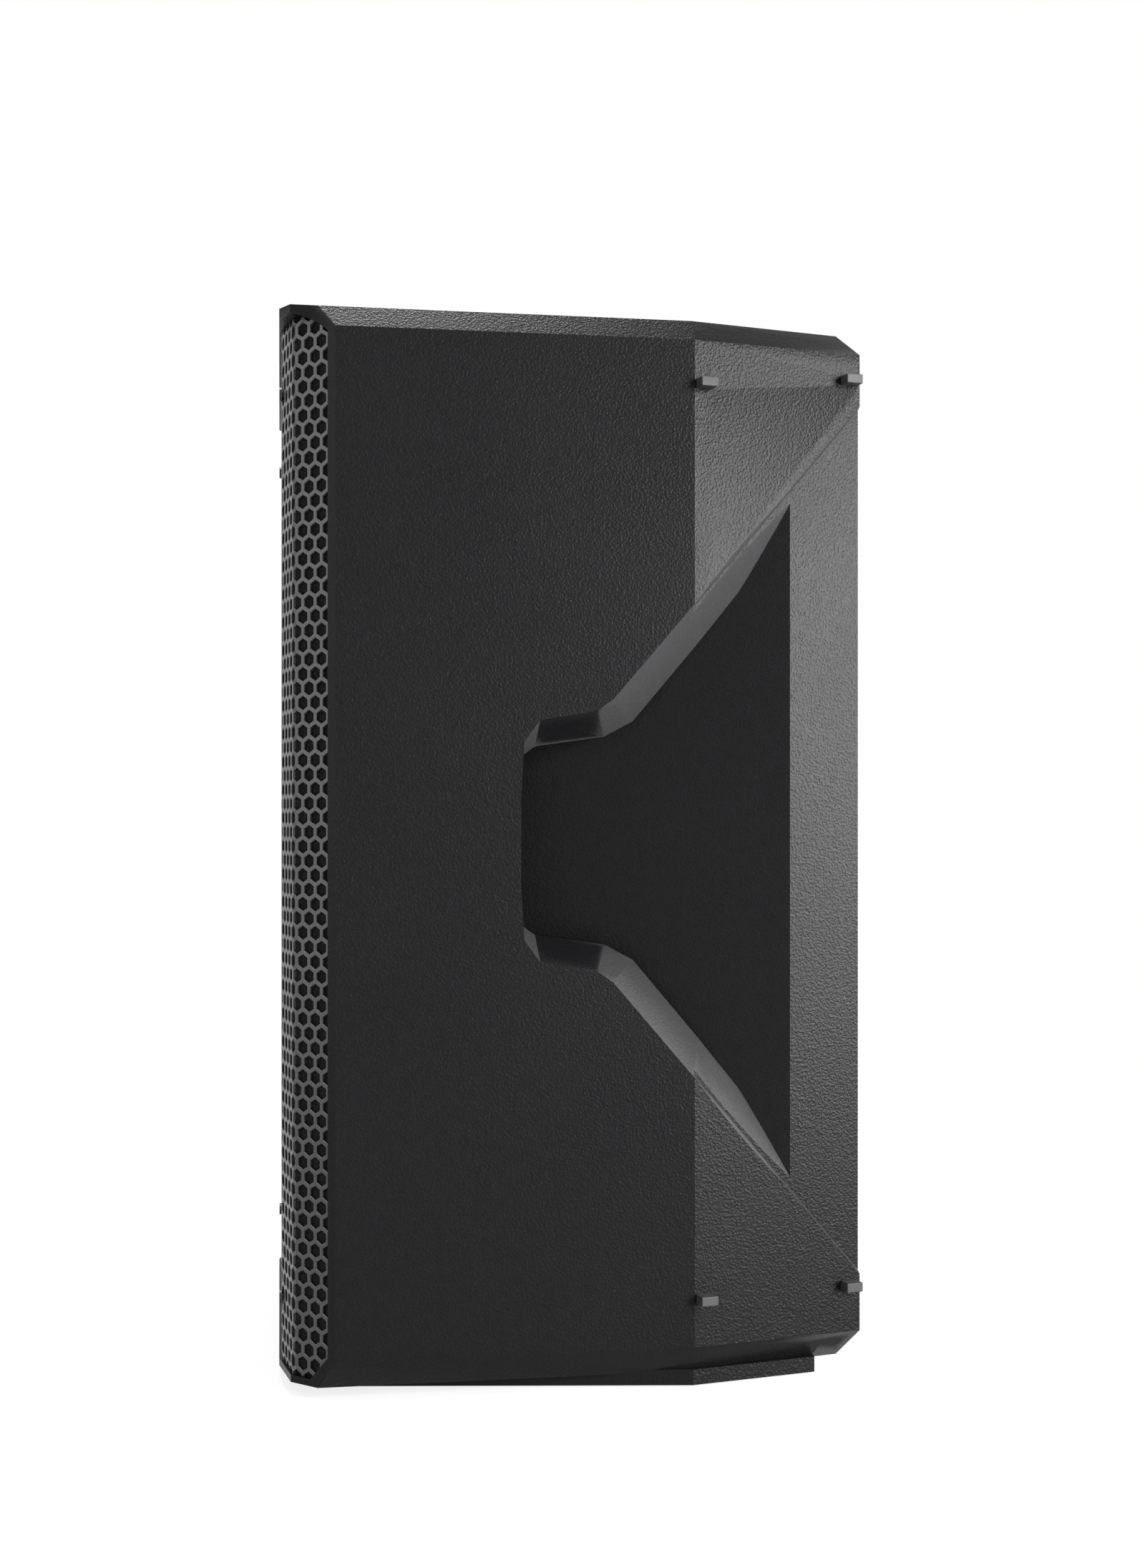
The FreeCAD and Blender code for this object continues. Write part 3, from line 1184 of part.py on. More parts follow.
for axis, text in (("x", "rocker_place"), ("y", rocker_pivot), ("z", inlet_middle)):
    tie(rocker, "Placement.Base." + axis, text)
keep(rocker, "power_rocker")
keep(rod("lamp", "lamp_radius", "lamp_length", ("lamp_place", panel_outer + " + lamp_stand", inlet_middle),
         FACING_FRONT), "power_lamp")

# The pole socket: a blind tube that stands in the base, flanged onto the floor inside.
drilled("pole_socket", turned("pole_cup", [
    ("pole_socket_radius", "pole_socket_recess"),
    ("pole_socket_radius + pole_socket_wall", "pole_socket_recess"),
    ("pole_socket_radius + pole_socket_wall", tub_floor), ("pole_flange_radius", tub_floor),
    ("pole_flange_radius", tub_floor + " + pole_flange_thickness"),
    ("pole_socket_radius + pole_socket_wall", tub_floor + " + pole_flange_thickness"),
    ("pole_socket_radius + pole_socket_wall", "pole_socket_recess + pole_socket_depth + pole_socket_crown"),
    ("0", "pole_socket_recess + pole_socket_depth + pole_socket_crown"),
    ("0", "pole_socket_recess + pole_socket_depth"),
    ("pole_socket_radius", "pole_socket_recess + pole_socket_depth"),
], ("0", "pole_socket_place", "0"), LEVEL), pole_stems)


# Threaded rigging inserts: flush outside, with a flange against the inner face of the wall.
def insert(name, place, turn, wall):
    return turned(name, [
        ("0", "-insert_length"), ("insert_radius", "-insert_length"),
        ("insert_radius", "-(%s) - insert_flange_thickness" % wall),
        ("insert_flange_radius", "-(%s) - insert_flange_thickness" % wall),
        ("insert_flange_radius", "-(%s)" % wall), ("insert_radius", "-(%s)" % wall), ("insert_radius", "0"),
        ("insert_tapping_radius", "0"), ("insert_tapping_radius", "-insert_thread_length"),
        ("0", "-insert_thread_length")], place, turn)


keep(group("inserts", [
    insert("insert_right", ("insert_spread", "0", "body_top"), LEVEL, "lip_wall"),
    insert("insert_left", ("-insert_spread", "0", "body_top"), LEVEL, "lip_wall"),
    insert("insert_rear", ("0", "back_depth", "insert_rear_height"), FACING_BACK, "tub_wall"),
]), "rigging_inserts")

wadding = box("wadding", ("2 * wadding_half_width", "wadding_thickness", "wadding_high - wadding_low"),
              ("-wadding_half_width", "back_depth - tub_wall - wadding_thickness", "wadding_low"))
keep(wadding, "acoustic_wadding")

doc.recompute()
failed = [thing.Name for thing in doc.Objects if {"Invalid", "Error"} & set(thing.State)]
if failed:
    raise RuntimeError("objects that did not build: %s" % ", ".join(failed))
for thing in nodes:
    shape = thing.Shape
    if shape.isNull() or not shape.isValid() or not shape.Solids:
        raise RuntimeError("%s has no valid solid" % thing.Label)
for thing in nodes:
    shape = thing.Shape
    shape.exportStep("parts/%s.step" % thing.Label)
    extent = shape.BoundBox
    print("%-24s solids %2d  volume %10.0f  y %7.1f %7.1f  z %6.1f %6.1f" % (
        thing.Label, len(shape.Solids), shape.Volume, extent.YMin, extent.YMax, extent.ZMin, extent.ZMax))
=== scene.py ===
# %% [markdown]
# # A PA speaker cabinet, dressed
#
# The frame is a powered loudspeaker: a black moulded tub with a folded steel grille across its
# front, a hand grip in each flank and an amplifier panel in its back. The pieces arrive at their
# real sizes. This lesson gives them their surfaces, adds the detail that solids leave out, such as
# the honeycomb of the grille, and sets up a camera and plain studio light.

# %% Load the frame
import math

import bmesh
import bpy
from mathutils import Matrix, Vector


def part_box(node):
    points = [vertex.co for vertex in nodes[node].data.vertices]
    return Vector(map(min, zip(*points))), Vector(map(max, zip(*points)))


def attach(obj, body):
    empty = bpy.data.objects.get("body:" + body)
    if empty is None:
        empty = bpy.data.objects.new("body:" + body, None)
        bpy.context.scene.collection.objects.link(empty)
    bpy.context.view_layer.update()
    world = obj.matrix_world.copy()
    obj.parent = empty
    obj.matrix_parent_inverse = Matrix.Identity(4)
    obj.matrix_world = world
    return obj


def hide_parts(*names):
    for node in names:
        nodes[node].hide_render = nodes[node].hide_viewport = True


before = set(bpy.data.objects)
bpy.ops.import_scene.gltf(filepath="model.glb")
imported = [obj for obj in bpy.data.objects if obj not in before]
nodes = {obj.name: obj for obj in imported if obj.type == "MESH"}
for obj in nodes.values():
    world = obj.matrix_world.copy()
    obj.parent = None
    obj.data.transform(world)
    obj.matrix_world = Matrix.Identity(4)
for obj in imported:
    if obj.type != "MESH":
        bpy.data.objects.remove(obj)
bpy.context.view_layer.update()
MM = 0.001

# %% [markdown]
# ## Camera
#
# The photograph looks at the cabinet's flank from about a metre away, level, and a little from the
# front. Its frame is 1600 by 2191 pixels. A focal length in those pixels becomes a lens in
# millimetres when it is scaled to Blender's 36 mm sensor, which lies along the longer side. A small
# upward shift keeps the camera level, so that upright edges stay upright.

# %% Camera
IMAGE_HEIGHT_PX = 2191
FOCAL_PX = 2620
HORIZON_PX = 1145
SENSOR_MM = 36.0
camera_data = bpy.data.cameras.new("camera")
camera_data.lens = FOCAL_PX / IMAGE_HEIGHT_PX * SENSOR_MM
camera_data.shift_y = (HORIZON_PX - IMAGE_HEIGHT_PX / 2) / IMAGE_HEIGHT_PX
camera = bpy.data.objects.new("camera", camera_data)
bpy.context.scene.collection.objects.link(camera)
camera.location = (1.234, -0.1696, 0.3268)
camera.rotation_euler = (math.radians(90), 0, math.radians(81.13))
bpy.context.scene.camera = camera
bpy.context.scene.view_settings.view_transform = "Standard"
print("lens %.1f mm, shift %.3f" % (camera_data.lens, camera_data.shift_y))

# %% [markdown]
# ## Stage and light
#
# Black plastic shows its shape by what it mirrors. A tall narrow light on the right stands where
# the rear flank mirrors it and the flat flank doesn't, which sets the two several times apart in
# brightness. One further back lights the sloped walls of the recess and the back, one overhead
# catches the top edge, and two in front pick out the grille. The floor and the world are white to
# the camera and to reflections, and dimmer as a source of light, so that the object isn't washed
# out. The floor fades to pure white away from the cabinet, which hides the horizon.

# %% World and floor
FLOOR_HALF = 6.0
WORLD_DIM = 0.3
FADE_START, FADE_END = 0.3, 1.3
FADE_NEAR, FADE_FAR = 0.8, 1.0


def white_to_camera(tree, dim_socket, bright_socket):
    """Mixes two shaders so that camera, mirror and glass rays meet the bright one."""
    rays = tree.nodes.new("ShaderNodeLightPath")
    either = tree.nodes.new("ShaderNodeMath")
    either.operation = "MAXIMUM"
    tree.links.new(rays.outputs["Is Camera Ray"], either.inputs[0])
    tree.links.new(rays.outputs["Is Glossy Ray"], either.inputs[1])
    also = tree.nodes.new("ShaderNodeMath")
    also.operation = "MAXIMUM"
    tree.links.new(either.outputs[0], also.inputs[0])
    tree.links.new(rays.outputs["Is Transmission Ray"], also.inputs[1])
    mix = tree.nodes.new("ShaderNodeMixShader")
    tree.links.new(also.outputs[0], mix.inputs[0])
    tree.links.new(dim_socket, mix.inputs[1])
    tree.links.new(bright_socket, mix.inputs[2])
    return mix.outputs[0]


world = bpy.data.worlds.new("studio")
bpy.context.scene.world = world
world.use_nodes = True
world_tree = world.node_tree
dim = world_tree.nodes["Background"]
dim.inputs["Color"].default_value = (1, 1, 1, 1)
dim.inputs["Strength"].default_value = WORLD_DIM
bright = world_tree.nodes.new("ShaderNodeBackground")
bright.inputs["Color"].default_value = (1, 1, 1, 1)
bright.inputs["Strength"].default_value = 1.0
world_tree.links.new(white_to_camera(world_tree, dim.outputs[0], bright.outputs[0]),
                     world_tree.nodes["World Output"].inputs["Surface"])

floor_material = bpy.data.materials.new("floor_white")
floor_material.use_nodes = True
floor_tree = floor_material.node_tree
matt = floor_tree.nodes["Principled BSDF"]
matt.inputs["Base Color"].default_value = (0.85, 0.85, 0.85, 1)
matt.inputs["Roughness"].default_value = 0.9
glow = floor_tree.nodes.new("ShaderNodeEmission")
glow.inputs["Color"].default_value = (1, 1, 1, 1)
blend = floor_tree.nodes.new("ShaderNodeMixShader")
place = floor_tree.nodes.new("ShaderNodeTexCoord")
reach = floor_tree.nodes.new("ShaderNodeVectorMath")
reach.operation = "LENGTH"
fade = floor_tree.nodes.new("ShaderNodeMapRange")
fade.inputs["From Min"].default_value = FADE_START
fade.inputs["From Max"].default_value = FADE_END
fade.inputs["To Min"].default_value = FADE_NEAR
fade.inputs["To Max"].default_value = FADE_FAR
floor_tree.links.new(place.outputs["Object"], reach.inputs[0])
floor_tree.links.new(reach.outputs["Value"], fade.inputs["Value"])
floor_tree.links.new(fade.outputs[0], blend.inputs[0])
floor_tree.links.new(matt.outputs[0], blend.inputs[1])
floor_tree.links.new(glow.outputs[0], blend.inputs[2])
floor_tree.links.new(white_to_camera(floor_tree, matt.outputs[0], blend.outputs[0]),
                     floor_tree.nodes["Material Output"].inputs["Surface"])
floor_mesh = bmesh.new()
bmesh.ops.create_grid(floor_mesh, x_segments=1, y_segments=1, size=FLOOR_HALF)
floor_data = bpy.data.meshes.new("floor")
floor_mesh.to_mesh(floor_data)
floor_mesh.free()
floor_data.materials.append(floor_material)
floor = bpy.data.objects.new("floor", floor_data)
bpy.context.scene.collection.objects.link(floor)
print("the floor is %.0f m across and pure white from %.1f m out" % (2 * FLOOR_HALF, FADE_END))

# %% Soft lights
AIM_HEIGHT = 0.3


def soft_light(name, azimuth, elevation, distance, width, height, watts):
    """A rectangular lamp on a sphere round the cabinet's middle, turned to face it."""
    middle = Vector((0, 0, AIM_HEIGHT))
    across, up = math.radians(azimuth), math.radians(elevation)
    toward = Vector((math.cos(across) * math.cos(up), math.sin(across) * math.cos(up), math.sin(up)))
    data = bpy.data.lights.new(name, "AREA")
    data.shape = "RECTANGLE"
    data.size = width
    data.size_y = height
    data.energy = watts
    lamp = bpy.data.objects.new(name, data)
    lamp.location = middle + toward * distance
    lamp.rotation_euler = toward.to_track_quat("Z", "Y").to_euler()
    lamp.visible_camera = False
    bpy.context.scene.collection.objects.link(lamp)


soft_light("right_light", azimuth=43, elevation=9, distance=2.3, width=0.8, height=1.3, watts=185)
soft_light("rear_light", azimuth=88, elevation=24, distance=2.3, width=0.9, height=1.2, watts=52)
soft_light("top_light", azimuth=-157, elevation=77, distance=1.75, width=0.6, height=0.9, watts=52)
soft_light("front_light", azimuth=-60, elevation=50, distance=2.0, width=0.9, height=0.8, watts=12)
soft_light("left_light", azimuth=-78, elevation=10, distance=2.2, width=1.6, height=2.2, watts=18)
print(len(bpy.data.lights), "lamps set")

# %% [markdown]
# ## Writing materials as expressions
#
# A material is a network of small nodes. Placing each by hand hides the idea behind the plumbing,
# so two short classes let the idea be written as arithmetic: a Wire is a node's output, and adding
# or multiplying wires adds the Math nodes. A Recipe makes every other node.

# %% Wires and recipes
class Wire:
    """One node's output. Arithmetic on it adds Math nodes."""

    def __init__(self, recipe, socket):
        self.recipe = recipe
        self.socket = socket

    def __add__(self, other):
        return self.recipe.calculate("ADD", self, other)

    def __sub__(self, other):
        return self.recipe.calculate("SUBTRACT", self, other)

    def __rsub__(self, other):
        return self.recipe.calculate("SUBTRACT", other, self)

    def __mul__(self, other):
        return self.recipe.calculate("MULTIPLY", self, other)

    __radd__ = __add__
    __rmul__ = __mul__


class Recipe:
    """A material's node tree round one Principled shader."""

    def __init__(self, name, colour, roughness, **sockets):
        self.material = bpy.data.materials.new(name)
        self.material.use_nodes = True
        self.tree = self.material.node_tree
        self.shader = self.tree.nodes["Principled BSDF"]
        self.set("Base Color", (*colour, 1))
        self.set("Roughness", roughness)
        for socket, amount in sockets.items():
            self.set(socket.replace("_", " "), amount)
        self.object_place = self.node("TexCoord", {}, (), "Object")

    def set(self, socket, amount):
        """Puts a number, a colour or a wire on the shader."""
        if isinstance(amount, Wire):
            self.tree.links.new(amount.socket, self.shader.inputs[socket])
        else:
            self.shader.inputs[socket].default_value = amount

    def node(self, kind, settings, inputs, output=0):
        """Any node: its settings are set first, then its sockets are filled or linked."""
        made = self.tree.nodes.new("ShaderNode" + kind)
        for key, amount in settings.items():
            if key == "stops":
                ramp = made.color_ramp
                while len(ramp.elements) < len(amount):
                    ramp.elements.new(1.0)
                for element, (position, colour) in zip(ramp.elements, amount):
                    element.position = position
                    element.color = (*colour, 1)
            else:
                setattr(made, key, amount)
        pairs = inputs.items() if isinstance(inputs, dict) else enumerate(inputs)
        for socket, amount in pairs:
            if isinstance(amount, Wire):
                self.tree.links.new(amount.socket, made.inputs[socket])
            elif amount is not None:
                made.inputs[socket].default_value = amount
        return Wire(self, made.outputs[output])

    def calculate(self, operation, *values):
        """A Math node."""
        return self.node("Math", {"operation": operation}, values)

    def step(self, level, start, end):
        """A mask that rises from 0 to 1 while the level goes from start to end."""
        return self.node("MapRange", {"interpolation_type": "SMOOTHSTEP"}, {
            "Value": level, "From Min": start, "From Max": end}, "Result")

    def noise(self, size_mm, detail=2.0, roughness=0.5, place=None):
        """Cloudy noise with patches of about the given size."""
        return self.node("TexNoise", {}, {"Vector": place or self.object_place, "Scale": 1 / (size_mm * MM),
                                          "Detail": detail, "Roughness": roughness}, "Fac")

    def ramp(self, factor, *stops):
        """Colours a factor by stops of position and colour."""
        return self.node("ValToRGB", {"stops": stops}, (factor,), "Color")

    def bump(self, height, depth_mm):
        """Turns a height from 0 to 1 into a normal."""
        return self.node("Bump", {}, {"Height": height, "Distance": depth_mm * MM, "Strength": 1.0}, "Normal")


print("two classes for materials:", Wire.__name__, "and", Recipe.__name__)

# %% [markdown]
# ## Moulded plastic
#
# The tub is polypropylene moulded against an etched tool, which leaves a leathery grain of about a
# millimetre. The grain does most of the work: it scatters the raking light into the mottled grey of
# the rear flank. Two sizes of pattern make it, and a slow third one lets the sheen drift a little,
# as it does where hands and van floors have polished it.
#
# In the photograph the recess's sloped walls are lighter than these lamps make them. A mask picks
# out surfaces that lean both backwards and up or down, and tints them grey. The tint stands in for
# that light and isn't a mark on the real plastic.

# %% Tub plastic
PAINTED_SLOPE_LIGHT = (0.12, 0.12, 0.122, 1)
LEAN_BACK = (0.22, 0.34)
LEAN_UPRIGHT = (0.1, 0.2)
COLOUR_SOCKET = 2
MIRROR_LEVEL = 0.078


def grained_plastic(name, colour, grain_mm, depth_mm, roughness, painted_slope_light):
    """Black plastic with an etched grain, a drifting sheen and a grey tint of painted light on sloped walls.
    """
    recipe = Recipe(name, colour, roughness, Specular_IOR_Level=MIRROR_LEVEL)
    pebbles = recipe.node("TexVoronoi", {"feature": "SMOOTH_F1"}, {
        "Vector": recipe.object_place, "Scale": 1 / (grain_mm * MM), "Smoothness": 0.6}, "Distance")
    fine = recipe.noise(grain_mm * 0.6, 3.0, 0.65)
    drift = recipe.noise(90, 2.0)
    dust = recipe.noise(7, 4.0, 0.7)
    recipe.set("Normal", recipe.bump(pebbles * 0.7 + fine * 0.6, depth_mm))
    recipe.set("Roughness", roughness + (drift - 0.5) * 0.12 + (fine - 0.5) * 0.22)
    lift = (dust - 0.5) * 0.5 + (fine - 0.5) * 0.9
    dark, light = [(*[part * scale for part in colour], 1) for scale in (0.5, 1.7)]
    shade = recipe.node("Mix", {"data_type": "RGBA"}, {
        "Factor": lift + 0.5, "A": dark, "B": light}, COLOUR_SOCKET)
    # Painted light: walls that lean backwards and up or down are tinted grey for light that the lamps don't
    # give.
    facing = recipe.node("TexCoord", {}, (), "Normal")
    slant = recipe.node("SeparateXYZ", {}, (facing,), "Y")
    rise = recipe.calculate("ABSOLUTE", recipe.node("SeparateXYZ", {}, (facing,), "Z"))
    sloped = recipe.step(slant, *LEAN_BACK) * recipe.step(rise, *LEAN_UPRIGHT)
    recipe.set("Base Color", recipe.node("Mix", {"data_type": "RGBA"}, {
        "Factor": sloped * painted_slope_light, "A": shade, "B": PAINTED_SLOPE_LIGHT}, COLOUR_SOCKET))
    return recipe.material


tub_plastic = grained_plastic("tub_plastic", (0.0035, 0.0035, 0.0038), 1.4, 0.24, 0.31, 0.13)
smooth_plastic = grained_plastic("smooth_plastic", (0.011, 0.011, 0.0115), 0.7, 0.03, 0.36, 0.0)
print("plastics made")


# %% [markdown]
# ## Other finishes
#
# Powder coat is a fine orange peel over steel. Foam is a matt sponge with lighter cell walls. Rubber
# is darker and duller than the plastic round it.

# %% Powder coat, foam, rubber and metals
def powder_coat():
    """Fine orange peel, duller where it is worn."""
    recipe = Recipe("grille_powder_coat", (0.018, 0.018, 0.018), 0.38, Specular_IOR_Level=0.5)
    peel = recipe.noise(0.9, 2.0)
    wear = recipe.noise(35, 5.0, 0.7)
    recipe.set("Normal", recipe.bump(peel, 0.05))
    recipe.set("Roughness", 0.34 + (wear - 0.5) * 0.2 + (peel - 0.5) * 0.1)
    return recipe.material


def sponge():
    """Open-cell foam with a few lighter cell walls."""
    recipe = Recipe("speaker_foam", (0.008, 0.008, 0.008), 0.95, Specular_IOR_Level=0.1)
    cells = recipe.node("TexVoronoi", {"feature": "F1"}, {
        "Vector": recipe.object_place, "Scale": 1 / (1.1 * MM)}, "Distance")
    fleck = recipe.noise(0.8, 3.0, 0.7)
    recipe.set("Normal", recipe.bump(cells, 0.6))
    recipe.set("Base Color", recipe.ramp(fleck, (0.0, (0.002, 0.002, 0.002)), (0.62, (0.006, 0.006, 0.006)),
                                         (0.80, (0.10, 0.10, 0.10))))
    return recipe.material


def rubber(name, tone):
    """Matt rubber with a fine skin."""
    recipe = Recipe(name, (tone, tone, tone), 0.7, Specular_IOR_Level=0.3)
    skin = recipe.noise(0.5, 3.0)
    bloom = recipe.noise(12, 3.0)
    recipe.set("Normal", recipe.bump(skin, 0.06))
    recipe.set("Roughness", 0.62 + (bloom - 0.5) * 0.25)
    return recipe.material


def metal(name, colour, roughness, grain=(1, 1, 1), depth_mm=0.02):
    """Bare or plated metal. The grain is drawn out along the axis with the smallest number."""
    recipe = Recipe(name, colour, roughness, Metallic=1.0)
    place = recipe.node("Mapping", {}, {"Vector": recipe.object_place, "Scale": grain}, "Vector")
    streaks = recipe.noise(0.6, 3.0, 0.6, place)
    stain = recipe.noise(18, 4.0, 0.6)
    recipe.set("Normal", recipe.bump(streaks, depth_mm))
    recipe.set("Roughness", roughness + (streaks - 0.5) * 0.25 + (stain - 0.5) * 0.15)
    return recipe.material


def paint(name, colour, roughness, texture_mm, depth_mm):
    """Any smooth coloured skin, with a slight texture and stains in its sheen."""
    recipe = Recipe(name, colour, roughness, Specular_IOR_Level=0.45)
    texture = recipe.noise(texture_mm, 2.0)
    stain = recipe.noise(30, 4.0, 0.6)
    recipe.set("Normal", recipe.bump(texture, depth_mm))
    recipe.set("Roughness", roughness + (stain - 0.5) * 0.2 + (texture - 0.5) * 0.1)
    return recipe.material


coat = powder_coat()
foam = sponge()
pad_rubber = rubber("pad_rubber", 0.016)
soft_rubber = rubber("soft_rubber", 0.01)
zinc = metal("zinc_plate", (0.62, 0.62, 0.6), 0.35)
black_steel = metal("black_steel", (0.06, 0.06, 0.062), 0.4)
brass = metal("contact_brass", (0.75, 0.55, 0.28), 0.25)
copper = metal("copper_wire", (0.8, 0.42, 0.24), 0.3)
anodised = metal("black_anodised", (0.045, 0.045, 0.048), 0.42, (1, 1, 0.05), 0.03)
panel_paint = paint("panel_paint", (0.02, 0.02, 0.021), 0.5, 0.9, 0.06)
cast_coat = paint("cast_coat", (0.015, 0.015, 0.015), 0.45, 1.5, 0.1)
ferrite = paint("ferrite", (0.05, 0.05, 0.052), 0.6, 0.6, 0.05)
grey_plastic = paint("grey_button_plastic", (0.25, 0.25, 0.25), 0.4, 0.5, 0.02)
circuit = paint("circuit_board", (0.02, 0.12, 0.05), 0.35, 1.2, 0.03)
tape = paint("transformer_tape", (0.4, 0.33, 0.08), 0.35, 2.5, 0.08)
cone_pulp = paint("cone_pulp", (0.03, 0.03, 0.03), 0.85, 1.2, 0.15)
spider_cloth = paint("spider_cloth", (0.45, 0.33, 0.16), 0.9, 0.7, 0.15)
green_lens = paint("green_lens", (0.05, 0.5, 0.12), 0.15, 3.0, 0.01)
white_ink = paint("white_ink", (0.75, 0.75, 0.73), 0.5, 0.4, 0.01)
print(len(bpy.data.materials), "materials made")

# %% [markdown]
# ## Finishing the CAD pieces
#
# A solid's edges are perfectly sharp, and a real moulding's never are: a radius of about a
# millimetre can catch a thin line of light. Weld joins the loose triangles, Planar Decimate clears
# the flat faces of needless edges and Bevel rounds what is left.

# %% Edge rounding and materials of the CAD nodes
WELD_REACH = 0.00001
FLAT_ANGLE = math.radians(0.6)
SHARP_ANGLE = math.radians(24)
ROUNDING_SEGMENTS = 2


def soften(node, radius_mm):
    """Rounds a CAD node's edges with modifiers, so that its own mesh stays as it is."""
    piece = nodes[node]
    weld = piece.modifiers.new("weld", "WELD")
    weld.merge_threshold = WELD_REACH
    flats = piece.modifiers.new("flats", "DECIMATE")
    flats.decimate_type = "DISSOLVE"
    flats.angle_limit = FLAT_ANGLE
    rounding = piece.modifiers.new("rounding", "BEVEL")
    rounding.width = radius_mm * MM
    rounding.segments = ROUNDING_SEGMENTS
    rounding.limit_method = "ANGLE"
    rounding.angle_limit = SHARP_ANGLE
    rounding.harden_normals = True


def finish_node(node, material):
    """Gives a CAD node its material."""
    piece = nodes[node]
    piece.data.materials.clear()
    piece.data.materials.append(material)


FINISHES = {
    tub_plastic: ["cabinet_shell", "grip_cup_right", "grip_cup_left"],
    smooth_plastic: ["front_baffle", "horn_flare", "port_tube_right", "port_tube_left",
                     "compression_driver_cap", "combo_input_1", "combo_input_2", "mix_output", "mains_inlet",
                     "switch_frame", "potentiometers", "button_switches", "pole_socket", "gain_knob_1",
                     "gain_knob_2", "master_knob", "power_rocker"],
    coat: ["grille"],
    foam: ["grille_foam", "acoustic_wadding"],
    pad_rubber: ["monitor_pads_right", "monitor_pads_left", "rubber_feet"],
    soft_rubber: ["woofer_surround", "woofer_gasket", "amp_panel_gasket"],
    zinc: ["woofer_top_plate", "woofer_back_plate", "rigging_inserts", "pole_socket_screws",
           "board_standoffs"],
    black_steel: ["grille_screws", "horn_screws", "woofer_bolts", "amp_panel_screws"],
    brass: ["mains_inlet_pins", "mix_output_pins"],
    copper: ["voice_coil"],
    anodised: ["heat_sink"],
    panel_paint: ["amp_panel"],
    cast_coat: ["woofer_basket"],
    ferrite: ["woofer_magnet", "compression_driver"],
    grey_plastic: ["line_button_1", "line_button_2", "contour_button", "latch_tab_1", "latch_tab_2"],
    circuit: ["amp_board"],
    tape: ["toroidal_transformer"],
    cone_pulp: ["woofer_cone", "dust_cap"],
    spider_cloth: ["woofer_spider"],
    green_lens: ["power_lamp"],
}
for material, names in FINISHES.items():
    for name in names:
        finish_node(name, material)
soften("cabinet_shell", 1.1)
for name in ("monitor_pads_right", "monitor_pads_left"):
    soften(name, 0.7)
for name in ("combo_input_1", "combo_input_2", "mix_output", "mains_inlet", "switch_frame", "heat_sink"):
    soften(name, 0.4)
for name in ("line_button_1", "line_button_2", "contour_button", "power_rocker"):
    soften(name, 0.6)
print(sum(len(names) for names in FINISHES.values()), "nodes finished")

# %% [markdown]
# ## The honeycomb grille
#
# The front is a steel sheet punched with hexagons on a nine millimetre pitch and folded round both
# front corners. Punching three thousand holes in a solid would be slow, so the sheet is made flat:
# one hexagon is repeated into a field, inset to leave the webs, trimmed to the sheet's outline with
# cutting planes and given its thickness. Only then is it wrapped along the folds.

# %% Sizes of the grille
PITCH = 9.37 * MM
HOLE = 6.45 * MM
SHEET = 1.5 * MM
ROUNDING = 0.3 * MM
FACE_HALF = 124.86 * MM
SHOULDER_LENGTH = 34.5 * MM
SHOULDER_TURN = math.radians(10.67)
WING_TURN = math.radians(36.14)
FOLD_RADIUS = 2.5 * MM
CORNER_CUT = 12 * MM
CORNER_RISE = 0.9
PAST_THE_WING = 1.0
SAME_POINT = 0.05 * MM
SAME_LEVEL = 0.01 * MM
RIM_ANGLE = math.radians(60)
grille_low, grille_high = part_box("grille")


# %% The path that the sheet follows
def fold_path(distance):
    """Where a point of the sheet lies, and which way it faces, at a distance from the middle."""
    side = 1 if distance >= 0 else -1
    left = abs(distance)
    heading = 0.0
    x, y = 0.0, grille_low[1]
    tangents = [FOLD_RADIUS * math.tan(turn / 2) for turn in (SHOULDER_TURN, WING_TURN)]
    runs = [(FACE_HALF - tangents[0], SHOULDER_TURN), (SHOULDER_LENGTH - sum(tangents), WING_TURN),
            (PAST_THE_WING, 0.0)]
    for run, turn in runs:
        step = min(left, run)
        x += math.cos(heading) * step
        y += math.sin(heading) * step
        left -= step
        bend = min(left / FOLD_RADIUS, turn)
        x += FOLD_RADIUS * (math.sin(heading + bend) - math.sin(heading))
        y += FOLD_RADIUS * (math.cos(heading) - math.cos(heading + bend))
        heading += bend
        left -= bend * FOLD_RADIUS
        if left <= 0:
            break
    return Vector((side * x, y, 0)), Vector((-side * math.sin(heading), math.cos(heading), 0))


def half_length():
    """The distance from the middle to the sheet's edge, found where the path meets the tub's wall."""
    low, high = 0.0, 0.4
    for _ in range(40):
        middle = (low + high) / 2
        if fold_path(middle)[0].x < grille_high[0]:
            low = middle
        else:
            high = middle
    return low


SHEET_HALF = half_length()
print("the sheet is %.1f mm wide when flat" % (2000 * SHEET_HALF))


